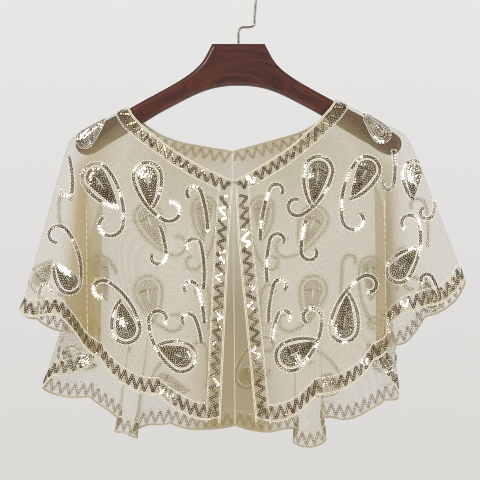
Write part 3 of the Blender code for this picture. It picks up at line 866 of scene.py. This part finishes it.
def flat_loop(width, thickness):
    """The outline of a folded tape: an ellipse whose cosine is flattened by its square root."""
    turn = np.linspace(0, 2 * np.pi, 12, endpoint=False)
    square = np.sign(np.cos(turn)) * np.abs(np.cos(turn)) ** 0.5
    return np.stack([width / 2 * square, thickness / 2 * np.sin(turn)], axis=1)


def round_cord(radius):
    """The outline of a cord: a circle by its cosine and sine, in six steps."""
    turn = np.linspace(0, 2 * np.pi, 6, endpoint=False)
    return radius * np.stack([np.cos(turn), np.sin(turn)], axis=1)


def tape(side, cape, run):
    """The folded tape along one edge, and the two cords that hold it, on its right side."""
    line = Line(cape, run.edge)
    distance = np.arange(run.start, line.length - run.stop, run.spacing)
    share, fall = line.at(distance, np.full_like(distance, TAPE_WIDTH / 2))
    points, faces = swept(cape, share, fall, flat_loop(TAPE_WIDTH, TAPE_THICKNESS))
    piece = add_piece(f"{run.edge}_tape_{side}", points, faces, sheer_tape)
    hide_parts(f"{run.edge}_binding_{side}")
    cords = []
    for inward in CORDS_INWARD:
        share, fall = line.at(distance, np.full_like(distance, inward))
        cords.append(swept(cape, share, fall, round_cord(CORD_RADIUS), CORD_LIFT))
    points, faces = joined(cords)
    return [piece, add_piece(f"{run.edge}_cords_{side}", points, faces, ivory)]


tapes = {side: [made for run in TAPE_RUNS for made in tape(side, cape, run)] for side, cape in CAPES.items()}


# Border
# A zigzag of overlapping cup sequins between the bound edge and a line of seed beads, on every edge.
# Each sequin is a thin champagne disc with an open hole, sewn down by its thread, and a dark shade painted round
# its rim.
SEQUIN_RINGS = [(1.72, 0.0), (1.00, -0.04), (0.46, -0.07)]
SEQUIN_SIDES = 8
SEQUIN_LIFT = 0.62
SEQUIN_PITCH = 2.5
BEAD_SIZE = 0.78

# The tint's alpha says how far out on the disc the corner is; near the rim a dark shade is painted in, on both
# faces. A sequin whose green is high, as the pale ones and those with the painted highlight are, keeps a pale rim.
CHAMPAGNE = (0.82, 0.70, 0.46)
COPPER_RED = (0.50, 0.27, 0.20)
# The pale tone of the leaves. On the back lobes it is painted on as a highlight.
PALE = np.array([0.95, 0.90, 0.82])
# The near-white colour of the painted highlight.
PAINTED_HIGHLIGHT = np.array([1.0, 0.98, 0.92])
sequin_metal, shading, surface = new_material("champagne_sequin", {"Roughness": 0.2})
tint = shading.add("VertexColor", layer_name="tint").outputs
wrong_way = shading.add("NewGeometry").outputs["Backfacing"]
green = shading.add("SeparateColor", {0: tint["Color"]}).outputs[1]
at_rim = shading.remap(tint["Alpha"], 0.54, 0.62, 0.0, 1.0)
# Painted shade: near black round the rim of each disc, and a darker tan round the rim of its wrong side.
painted_rim_shade = shading.math("MULTIPLY", at_rim, shading.remap(green, 0.84, 0.95, 0.93, 0.0))
right_side = shading.blend(painted_rim_shade, tint["Color"], (0.05, 0.035, 0.02, 1))
wrong_side = shading.blend(at_rim, (0.50, 0.43, 0.29, 1), (0.25, 0.175, 0.085, 1))
shading.links.new(shading.blend(wrong_way, right_side, wrong_side), surface["Base Color"])
shading.links.new(shading.remap(wrong_way, 0.0, 1.0, 1.0, 0.2), surface["Metallic"])
thin_hole = shading.remap(at_rim, 0.0, 1.0, 0.2, 0.85)
shading.links.new(shading.between(wrong_way, 1.0, thin_hole), surface["Alpha"])

bead_glass, _, _ = new_material("seed_bead", {"Base Color": (0.93, 0.90, 0.81, 1), "Roughness": 0.28})


def drift(points, seed):
    """A slow, smooth value from -1 to 1 over the cloth, so that neighbouring sequins catch the light together:
    a product of two sine waves and a third, slanting one."""
    x, y, z = points[:, 0], points[:, 1], points[:, 2]
    slanting = 0.6 * np.sin((x + z) / 6.1 + 2.3 * seed + y / 14)
    return (np.sin(x / 9.7 + seed) * np.sin(z / 11.3 + 1.7 * seed) + slanting) / 1.3


def sequins(points, ahead, across, out, mood, rng):
    """Cupped octagonal discs with a hole, each tipped along the chain, with a drift and a little chance of its
    own. The mood of each is how readily it catches the window, and how pale it is."""
    count = len(points)
    tip = 0.08 + rng.normal(0, 0.04, count)
    sway = np.stack([0.10 * drift(points, 0.4), 0 * tip, -0.06 + 0.10 * drift(points, 2.1)], axis=1)
    glint = np.clip((drift(points, 3.3) - 0.72 + 0.5 * mood[:, 0]) / 0.14, 0, 1)[:, None]
    to_window = np.where(out[:, 1:2] < 0, [[-0.33, 0.0, 0.22]], [[0.03, 0.0, 0.15]])
    sway = sway * (1 - glint) + to_window * glint + rng.normal(0, 0.035, (count, 3))
    normal = unit(out + ahead * (tip[:, None] * (1 - glint)) + sway)
    first = unit(np.cross(across, normal))
    second = np.cross(normal, first)
    turn = np.arange(SEQUIN_SIDES) * np.pi / 4 + np.pi / 8
    spoke = first[:, None, :] * np.cos(turn)[None, :, None] + second[:, None, :] * np.sin(turn)[None, :, None]
    size = 1 + rng.normal(0, 0.03, count)[:, None, None]
    middle = (points + out * SEQUIN_LIFT)[:, None, :]
    rings = [middle + spoke * radius * size + normal[:, None, :] * depth for radius, depth in SEQUIN_RINGS]
    corners = np.concatenate(rings, axis=1)
    one = ring_faces(len(SEQUIN_RINGS), SEQUIN_SIDES)
    faces = (np.arange(count)[:, None, None] * corners.shape[1] + one[None]).reshape(-1, 4)
    return corners.reshape(-1, 3), faces


def sequin_tints(points, mood, rng):
    """Champagne for most and a few reddish, as rows of colour, and a near-white painted highlight over bright
    patches.
    """
    count = len(points)
    # Painted highlight: where the drift is high, as where sequins tip to the window, their colour is pulled
    # towards near white.
    highlight_drift = drift(points, 3.3) - 0.5 + 0.5 * mood[:, 0]
    highlight_share = np.clip(0.06 + 1.15 * highlight_drift + rng.normal(0, 0.10, count), 0, 1)[:, None]
    colour = np.tile(CHAMPAGNE, (count, 1))
    red = (rng.random(count) < 0.6) & (drift(points, 8.3) > 0.55 + 0.2 * mood[:, 0])
    colour[red] = COPPER_RED
    pale = mood[:, 1:2].clip(0, 1)
    colour += (PALE - colour) * pale
    colour *= 1 + (1 - 0.85 * pale) * rng.normal(0, 0.16, (count, 1)).clip(-0.5, 0.15)
    colour += (PAINTED_HIGHLIGHT - colour) * highlight_share
    radii = np.array([radius for radius, _ in SEQUIN_RINGS]) / SEQUIN_RINGS[0][0]
    flat = np.repeat(colour, len(radii) * SEQUIN_SIDES, axis=0)
    return np.hstack([flat, np.tile(np.repeat(radii, SEQUIN_SIDES), count)[:, None]])


def beads(points, size):
    """Small octahedral beads or picots: six corners, one each way along the axes, and eight faces."""
    corner = np.array([(1, 0, 0), (-1, 0, 0), (0, 1, 0), (0, -1, 0), (0, 0, 1), (0, 0, -1)]) * size
    three = np.array([(0, 2, 4), (2, 1, 4), (1, 3, 4), (3, 0, 4), (2, 0, 5), (1, 2, 5), (3, 1, 5), (0, 3, 5)])
    corners = (points[:, None, :] + corner[None]).reshape(-1, 3)
    faces = (np.arange(len(points))[:, None, None] * 6 + three[None]).reshape(-1, 3)
    return corners, faces


def sewn(kind, side, metal, moods, glass, rng):
    """One piece of sequins from their points and directions, and one of beads from their points."""
    points, ahead, across, out = (np.vstack([stretch[i] for stretch in metal]) for i in range(4))
    mood = np.vstack(moods)
    corners, faces = sequins(points, ahead, across, out, mood, rng)
    shiny = add_piece(f"{kind}_sequins_{side}", corners, faces, sequin_metal, shade=False,
                      tints=sequin_tints(points, mood, rng))
    corners, faces = beads(np.vstack(glass), BEAD_SIZE)
    return [shiny, add_piece(f"{kind}_beads_{side}", corners, faces, bead_glass)]


def spaced(cape, share, fall, pitch):
    """The share and fall of points this far apart along a path on the cloth."""
    steps = np.linalg.norm(np.diff(cape.place(share, fall), axis=0), axis=1)
    run = np.append(0, np.cumsum(steps))
    at = np.arange(0, run[-1], pitch)
    return np.interp(at, run, share), np.interp(at, run, fall)


# A band's sparkle tips more of its sequins to the window, and also paints more of them with the near-white
# highlight.
Band = namedtuple("Band", "edge start stop middle reach period inner sparkle")
BANDS = [
    Band("neck", 4.0, 2.0, 8.9, 5.7, 10.6, 17.0, 0.2),
    Band("front", 20.0, 6.0, 8.9, 4.9, 12.6, 16.8, 0.9),
    Band("hem", 4.0, 2.0, 10.3, 6.5, 10.2, 19.8, 0.45),
]
INNER_BEADS, INNER_PICOTS, EDGE_PICOTS = 1.35, 2.7, 1.9
PICOT_OUT = 1.3


def border(side, cape, rng):
    """The sequin zigzag, a triangle wave about the middle of the band, and the bead lines of one half."""
    metal, glass, moods = [], [], []
    for band in BANDS:
        line = Line(cape, band.edge)
        fine = np.arange(band.start, line.length - band.stop, 0.4)
        swing = 2 * np.abs(np.mod(fine / band.period, 1.0) * 2 - 1) - 1
        share, fall = spaced(cape, *line.at(fine, band.middle + band.reach * swing), SEQUIN_PITCH)
        metal.append(frames_along(cape, share, fall))
        moods.append(np.tile([band.sparkle, 0.0], (len(share), 1)))
        begin = 0.0 if band.edge == "front" else band.inner
        for inward, pitch, start, lift in ((band.inner, INNER_BEADS, begin, 0.35),
                                           (band.inner - PICOT_OUT, INNER_PICOTS, begin, 0.35),
                                           (0.1, EDGE_PICOTS, 0.0, 0.0)):
            fine = np.arange(start, line.length, 0.4)
            share, fall = spaced(cape, *line.at(fine, np.full_like(fine, inward)), pitch)
            glass.append(cape.place(share, fall, lift))
    return sewn("border", side, metal, moods, glass, rng)


borders = {side: border(side, cape, np.random.default_rng(11 + n))
           for n, (side, cape) in enumerate(CAPES.items())}


# Motifs
# Paisleys, canes and leaves, each drawn by chains of sequins couched between two lines of seed beads.
# A paisley is a filled drop whose outer chain runs on past the tip and curls over.
# Those of the back are sewn with their right side outwards, so only their dull wrong side shows from the front.
Paisley = namedtuple("Paisley", "tip_x tip_z round_x round_z radius hook_x hook_z hook_radius turn")
Cane = namedtuple("Cane", "foot_x foot_z hook_x hook_z radius turn")
Leaf = namedtuple("Leaf", "tip_x tip_z round_x round_z radius turn")
Region = namedtuple("Region", "side first last pale motifs")
LEFT_FRONT_MOTIFS = [
    Paisley(-137.4, -263.8, -162.7, -229.2, 16.1, -147.8, -282.1, 16.1, -1),
    Paisley(-99.5, -264.9, -104.1, -228.1, 16.1, -77.6, -266.0, 13.8, 1),
    Paisley(-135.1, -369.6, -128.2, -401.8, 16.1, -155.8, -358.1, 12.1, 1),
    Paisley(-92.6, -421.3, -65.0, -433.9, 16.7, -90.3, -391.4, 12.1, -1),
    Cane(-89.1, -285.6, -92.6, -319.5, 10.3, -1),
    Cane(-35.1, -290.2, -52.3, -248.2, 9.8, 1),
    Cane(-39.7, -354.6, -52.3, -307.4, 9.8, 1),
    Cane(-39.1, -393.7, -55.8, -355.8, 9.2, 1),
    Cane(-42.5, -416.7, -58.1, -392.6, 9.2, 1),
]
RIGHT_FRONT_MOTIFS = [
    Paisley(84.5, -262.6, 91.4, -221.2, 16.1, 66.1, -261.4, 12.1, -1),
    Paisley(128.2, -253.4, 146.6, -220.0, 14.9, 132.8, -276.4, 14.4, 1),
    Paisley(124.4, -360.3, 120.2, -400.6, 16.1, 147.8, -352.3, 12.1, -1),
    Paisley(89.9, -415.5, 59.2, -432.8, 16.7, 82.2, -389.1, 12.6, 1),
    Cane(76.5, -279.8, 82.2, -314.3, 10.9, 1),
    Cane(24.7, -299.4, 44.3, -244.8, 9.2, -1),
    Cane(32.4, -346.6, 45.4, -301.7, 9.8, -1),
    Cane(34.4, -393.7, 48.9, -353.4, 9.2, -1),
    Cane(38.3, -416.7, 52.9, -389.1, 9.2, -1),
]
LEFT_SLEEVE_MOTIFS = [
    Leaf(-154.7, -162.6, -176.4, -185.2, 8.6, 1),
    Cane(-193.8, -206.2, -198.4, -243.0, 8.0, -1),
    Paisley(-209.9, -325.8, -193.8, -347.7, 13.8, -207.6, -295.9, 12.6, 1),
    Cane(-230.6, -390.2, -219.1, -358.1, 8.0, -1),
]
LEFT_SLEEVE_REAR_MOTIFS = [
    Leaf(-155.8, -167.2, -176.4, -189.8, 8.6, 1),
    Paisley(-214.5, -325.8, -228.3, -345.4, 12.6, -205.3, -369.6, 10.3, 1),
    Cane(-205.3, -283.3, -198.4, -254.5, 8.0, -1),
]
LEFT_LOBE_MOTIFS = [
    Paisley(-166.2, -446.6, -193.8, -432.8, 14.9, -177.7, -398.3, 10.3, -1),
    Paisley(-153.5, -369.6, -161.6, -332.8, 13.8, -140.9, -404.0, 10.3, -1),
]
LEFT_BACK_MOTIFS = [
    Paisley(-90.3, -309.8, -105.2, -274.1, 16.1, -71.9, -305.1, 13.8, 1),
    Paisley(-99.5, -394.8, -105.2, -358.1, 16.1, -75.3, -394.8, 12.6, 1),
    Paisley(-58.1, -475.3, -86.8, -466.1, 14.9, -62.7, -436.2, 10.3, -1),
    Paisley(-40.8, -300.6, -39.7, -263.8, 13.8, -53.5, -325.8, 10.3, -1),
    Cane(-35.1, -404.0, -44.3, -360.3, 9.2, 1),
    Cane(-37.4, -470.8, -46.6, -427.0, 9.2, 1),
    Cane(-127.1, -429.3, -134.0, -386.8, 9.2, 1),
]
RIGHT_SLEEVE_MOTIFS = [
    Leaf(143.2, -154.5, 163.9, -178.7, 9.2, -1),
    Paisley(199.5, -253.4, 200.7, -222.3, 12.6, 214.5, -268.3, 9.2, -1),
    Paisley(205.3, -309.8, 183.4, -335.1, 14.4, 194.9, -282.1, 11.5, 1),
    Cane(177.7, -197.1, 169.6, -236.2, 8.0, -1),
    Cane(231.7, -369.6, 214.5, -346.6, 8.0, 1),
]
RIGHT_SLEEVE_REAR_MOTIFS = [
    Leaf(144.3, -160.2, 168.5, -186.7, 9.2, -1),
    Cane(217.9, -307.4, 205.3, -261.4, 10.3, 1),
    Paisley(214.5, -340.8, 222.5, -373.0, 10.3, 199.5, -352.3, 9.2, 1),
    Cane(183.4, -358.1, 191.5, -317.8, 9.2, -1),
]
RIGHT_LOBE_MOTIFS = [
    Paisley(151.2, -421.3, 169.6, -440.8, 12.6, 158.1, -398.3, 9.2, 1),
    Paisley(153.5, -369.6, 153.5, -332.8, 12.6, 162.7, -390.2, 9.2, 1),
]
RIGHT_BACK_MOTIFS = [
    Paisley(73.0, -312.1, 88.0, -276.4, 16.1, 54.6, -307.4, 13.8, -1),
    Paisley(82.2, -394.8, 86.8, -358.1, 16.1, 56.9, -394.8, 12.6, -1),
    Paisley(36.2, -452.3, 9.8, -459.2, 13.8, 32.8, -423.6, 10.3, -1),
    Paisley(76.5, -475.3, 105.2, -466.1, 14.9, 83.4, -436.2, 10.3, 1),
    Paisley(27.0, -300.6, 27.0, -263.8, 13.8, 38.5, -325.8, 10.3, 1),
    Cane(27.0, -404.0, 36.2, -360.3, 9.2, -1),
    Cane(123.6, -404.0, 130.5, -325.8, 9.2, -1),
]
# The number after a region's two shares is added to both parts of its motifs' moods. It paints their sequins paler
# and gives more of them the painted highlight, so the back lobes are painted near white as a highlight.
REGIONS = [
    Region("left", 0.0, 0.272, 0.0, LEFT_FRONT_MOTIFS),
    Region("left", 0.223, 0.365, 0.35, LEFT_SLEEVE_MOTIFS),
    Region("left", 0.365, 0.495, 0.35, LEFT_SLEEVE_REAR_MOTIFS),
    Region("left", 0.522, 0.705, 1.0, LEFT_LOBE_MOTIFS),
    Region("left", 0.705, 1.0, 0.0, LEFT_BACK_MOTIFS),
    Region("right", 0.0, 0.268, 0.0, RIGHT_FRONT_MOTIFS),
    Region("right", 0.228, 0.412, 0.35, RIGHT_SLEEVE_MOTIFS),
    Region("right", 0.412, 0.584, 0.35, RIGHT_SLEEVE_REAR_MOTIFS),
    Region("right", 0.611, 0.726, 0.75, RIGHT_LOBE_MOTIFS),
    Region("right", 0.726, 1.0, 0.0, RIGHT_BACK_MOTIFS),
]

CHAIN_PITCH = 3.3
FILL_PITCH = 3.0
BEADS_BESIDE = 2.4
CHAIN_MOOD = (1.0, 0.0)
FILL_MOOD = (0.2, 0.0)
LEAF_MOOD = (0.05, 1.0)
# The loops of a drop, from the outline inward: how much of the way to the tip and of the radius each keeps.
PAISLEY_LOOPS = ((0.90, 0.62), (0.74, 0.40), (0.58, 0.17))
LEAF_LOOPS = ((1.0, 1.0), (0.8, 0.62), (0.6, 0.2))


def around(middle, radius, angles):
    """Points of a circle by the cosine and sine of these angles."""
    return middle + radius * np.stack([np.cos(angles), np.sin(angles)], axis=1)


def pulley_path(wheels, sweep, slack, turn):
    """A smooth line from a point round each wheel (x, z, radius) in turn, all the same way, then curling on
    round the last. It leaves and meets each wheel a little past the straight tangent, so the runs bow outward."""
    stretches = []
    for n, (x, z, radius) in enumerate(wheels):
        centre = np.array([x * turn, z])
        if n == 0:
            here, previous, heading = centre, (centre, radius), None
            continue
        gap = centre - previous[0]
        lean = np.arcsin(np.clip((previous[1] - radius) / np.linalg.norm(gap), -1, 1))
        straight = np.arctan2(gap[1], gap[0]) + lean
        leave, meet = straight - slack, straight + slack
        if previous[1] > 0:
            end = leave - np.pi / 2
            end += 2 * np.pi * np.ceil((heading - end) / (2 * np.pi))
            stretches.append(around(*previous, np.linspace(heading, end, 60)))
            here = stretches[-1][-1]
        touch = meet - np.pi / 2
        there = centre + radius * np.array([np.cos(touch), np.sin(touch)])
        reach = np.linalg.norm(there - here)
        leaving = np.array([np.cos(leave), np.sin(leave)]) * reach
        meeting = np.array([np.cos(meet), np.sin(meet)]) * reach
        stretches.append(hermite(np.linspace(0, 1, 40)[:, None], here, leaving, there, meeting))
        heading, previous = touch, (centre, radius)
    arc = np.linspace(0, np.radians(sweep), 60)
    shrink = previous[1] * (1 - 0.42 * arc / arc[-1])
    stretches.append(around(previous[0], shrink[:, None], heading + arc))
    line = np.vstack(stretches)
    line[:, 0] *= turn
    return line


def even(line, pitch):
    """The line's points this far apart, and the direction at each."""
    run = np.append(0, np.cumsum(np.linalg.norm(np.diff(line, axis=0), axis=1)))
    at = np.arange(0, run[-1] + 1e-6, pitch)
    made = np.stack([np.interp(at, run, line[:, i]) for i in (0, 1)], axis=1)
    return made, unit(np.gradient(made, axis=0))


def beside(ways, distance):
    """Steps this far to the left of these directions."""
    return np.stack([-ways[:, 1], ways[:, 0]], axis=1) * distance


def chain(line):
    """Sequin places along the line, and bead places on both sides, with a picot outside every third bead."""
    spots, _ = even(line, CHAIN_PITCH)
    row, ways = even(line, 1.4)
    sides = beside(ways, BEADS_BESIDE)
    loops = slice(1, None, 3)
    outer = sides[loops] * 1.32
    return spots, np.vstack([row + sides, row - sides, row[loops] + outer, row[loops] - outer])


def drop_rows(motif):
    """The loops of a filled drop: each runs from its tip round its round end and back, and they shrink."""
    tip = np.array([motif.tip_x, motif.tip_z])
    middle = np.array([motif.round_x, motif.round_z])
    rows = []
    for tip_part, round_part in PAISLEY_LOOPS if isinstance(motif, Paisley) else LEAF_LOOPS:
        start = middle + (tip - middle) * tip_part
        radius = motif.radius * round_part
        wheels = [(*start, 0.0), (*middle, radius)]
        out_run, back_run = (pulley_path(wheels, 1.0, 0.12, turn) for turn in (motif.turn, -motif.turn))
        begin, final = (np.arctan2(*(run[-1] - middle)[::-1]) for run in (out_run, back_run))
        turned = np.mod((final - begin) * motif.turn, 2 * np.pi)
        cap = around(middle, radius, begin + motif.turn * np.linspace(0, turned, 50))
        rows.append(np.vstack([out_run, cap[1:], back_run[::-1][1:]]))
    return rows


def drawn(motif):
    """The sequin places of one motif in the flat, as (x, z), the mood of each, and its bead places."""
    if isinstance(motif, Cane):
        wheels = [(motif.foot_x, motif.foot_z, 0.0), (motif.hook_x, motif.hook_z, motif.radius)]
        spots, picots = chain(pulley_path(wheels, 205.0, 0.16, motif.turn))
        return spots, np.tile(CHAIN_MOOD, (len(spots), 1)), picots
    rows = drop_rows(motif)
    fills = np.vstack([even(row, FILL_PITCH)[0] for row in rows])
    rim, ways = even(rows[0], 1.35)
    outside = rim - beside(ways, 2.1) * motif.turn
    if isinstance(motif, Leaf):
        return fills, np.tile(LEAF_MOOD, (len(fills), 1)), outside
    wheels = [(motif.tip_x, motif.tip_z, 0.0), (motif.round_x, motif.round_z, motif.radius),
              (motif.hook_x, motif.hook_z, motif.hook_radius)]
    spots, picots = chain(pulley_path(wheels, 225.0, 0.42, motif.turn))
    mood = np.vstack([np.tile(CHAIN_MOOD, (len(spots), 1)), np.tile(FILL_MOOD, (len(fills), 1))])
    return np.vstack([spots, fills]), mood, np.vstack([picots, outside])


def on_cloth(cape, region, places):
    """The share and fall of flat places (x, z) on this stretch of the cloth, and whether each is really on it.
    The nearest point of a coarse net starts a few Newton steps on x and z."""
    shares = np.linspace(region.first, region.last, 150)
    falls = np.linspace(0.01, 0.99, 80)
    net_share, net_fall = (g.ravel() for g in np.meshgrid(shares, falls))
    net_places = cape.plain(net_share, net_fall)[:, [0, 2]]
    nearest = np.concatenate([np.argmin(((part[:, None] - net_places[None]) ** 2).sum(axis=2), axis=1)
                              for part in np.array_split(places, max(1, len(places) // 400))])
    share, fall = net_share[nearest], net_fall[nearest]
    step = 1e-4
    for _ in range(7):
        here = cape.plain(share, fall)[:, [0, 2]]
        by_share = (cape.plain(share + step, fall)[:, [0, 2]] - here) / step
        by_fall = (cape.plain(share, fall + step)[:, [0, 2]] - here) / step
        miss = places - here
        flat = by_share[:, 0] * by_fall[:, 1] - by_share[:, 1] * by_fall[:, 0]
        flat = np.where(np.abs(flat) < 1e-3, 1e-3, flat)
        move_share = (miss[:, 0] * by_fall[:, 1] - miss[:, 1] * by_fall[:, 0]) / flat
        move_fall = (by_share[:, 0] * miss[:, 1] - by_share[:, 1] * miss[:, 0]) / flat
        share = np.clip(share + np.clip(move_share, -0.01, 0.01), region.first, region.last)
        fall = np.clip(fall + np.clip(move_fall, -0.03, 0.03), 0.02, 0.98)
    near = np.linalg.norm(cape.plain(share, fall)[:, [0, 2]] - places, axis=1) < 0.8
    return share, fall, near


def motif_pieces(side, cape, rng):
    """All the motifs of one half, as one piece of sequins and one of beads."""
    metal, glass, moods = [], [], []
    for region in (region for region in REGIONS if region.side == side):
        for motif in region.motifs:
            spots, mood, picots = drawn(motif)
            share, fall, near = on_cloth(cape, region, spots)
            moods.append(mood[near] + region.pale)
            metal.append([part[near] for part in frames_along(cape, share, fall)])
            share, fall, near = on_cloth(cape, region, picots)
            glass.append(cape.place(share[near], fall[near], 0.35))
    return sewn("motif", side, metal, moods, glass, rng)


motifs = {side: motif_pieces(side, cape, np.random.default_rng(31 + n))
          for n, (side, cape) in enumerate(CAPES.items())}


# Seams
# The halves are joined down the centre back by one fine rolled seam, which shows as a pale cord.
# A line of small seed beads marks where each front turns into its sleeve.
SLEEVE_SEAM = {"left": 0.232, "right": 0.228}
BACK_SEAM_RADIUS = 0.6


def sleeve_seam(side, cape):
    """Beads at even distances down one fold line of the cloth."""
    fall = np.linspace(0.42, 0.93, 300)
    share, fall = spaced(cape, np.full_like(fall, SLEEVE_SEAM[side]), fall, 1.35)
    corners, faces = beads(cape.place(share, fall, 0.3), BEAD_SIZE * 0.9)
    return add_piece(f"sleeve_seam_{side}", corners, faces, bead_glass)


def back_seam(cape):
    """A round cord carried down the centre back, over both edges."""
    fall = np.linspace(0.012, 0.965, 240)
    points, faces = swept(cape, np.ones_like(fall), fall, round_cord(BACK_SEAM_RADIUS))
    return add_piece("centre_back_seam", points, faces, bead_glass)


seams = {side: [sleeve_seam(side, cape)] for side, cape in CAPES.items()}
seams["left"].append(back_seam(CAPES["left"]))


# Cloth sizes
# Each half was cut flat as a ring sector: 277 mm along the neck, 770 mm along the hem, 280 to 350 mm long.
# The hung surface has to match that cut, and everything sewn on goes with it.
Cut = namedtuple("Cut", "width length area")
for side, cloth in cloths.items():
    sewn_on = [*tapes[side], *borders[side], *motifs[side], *seams[side]]
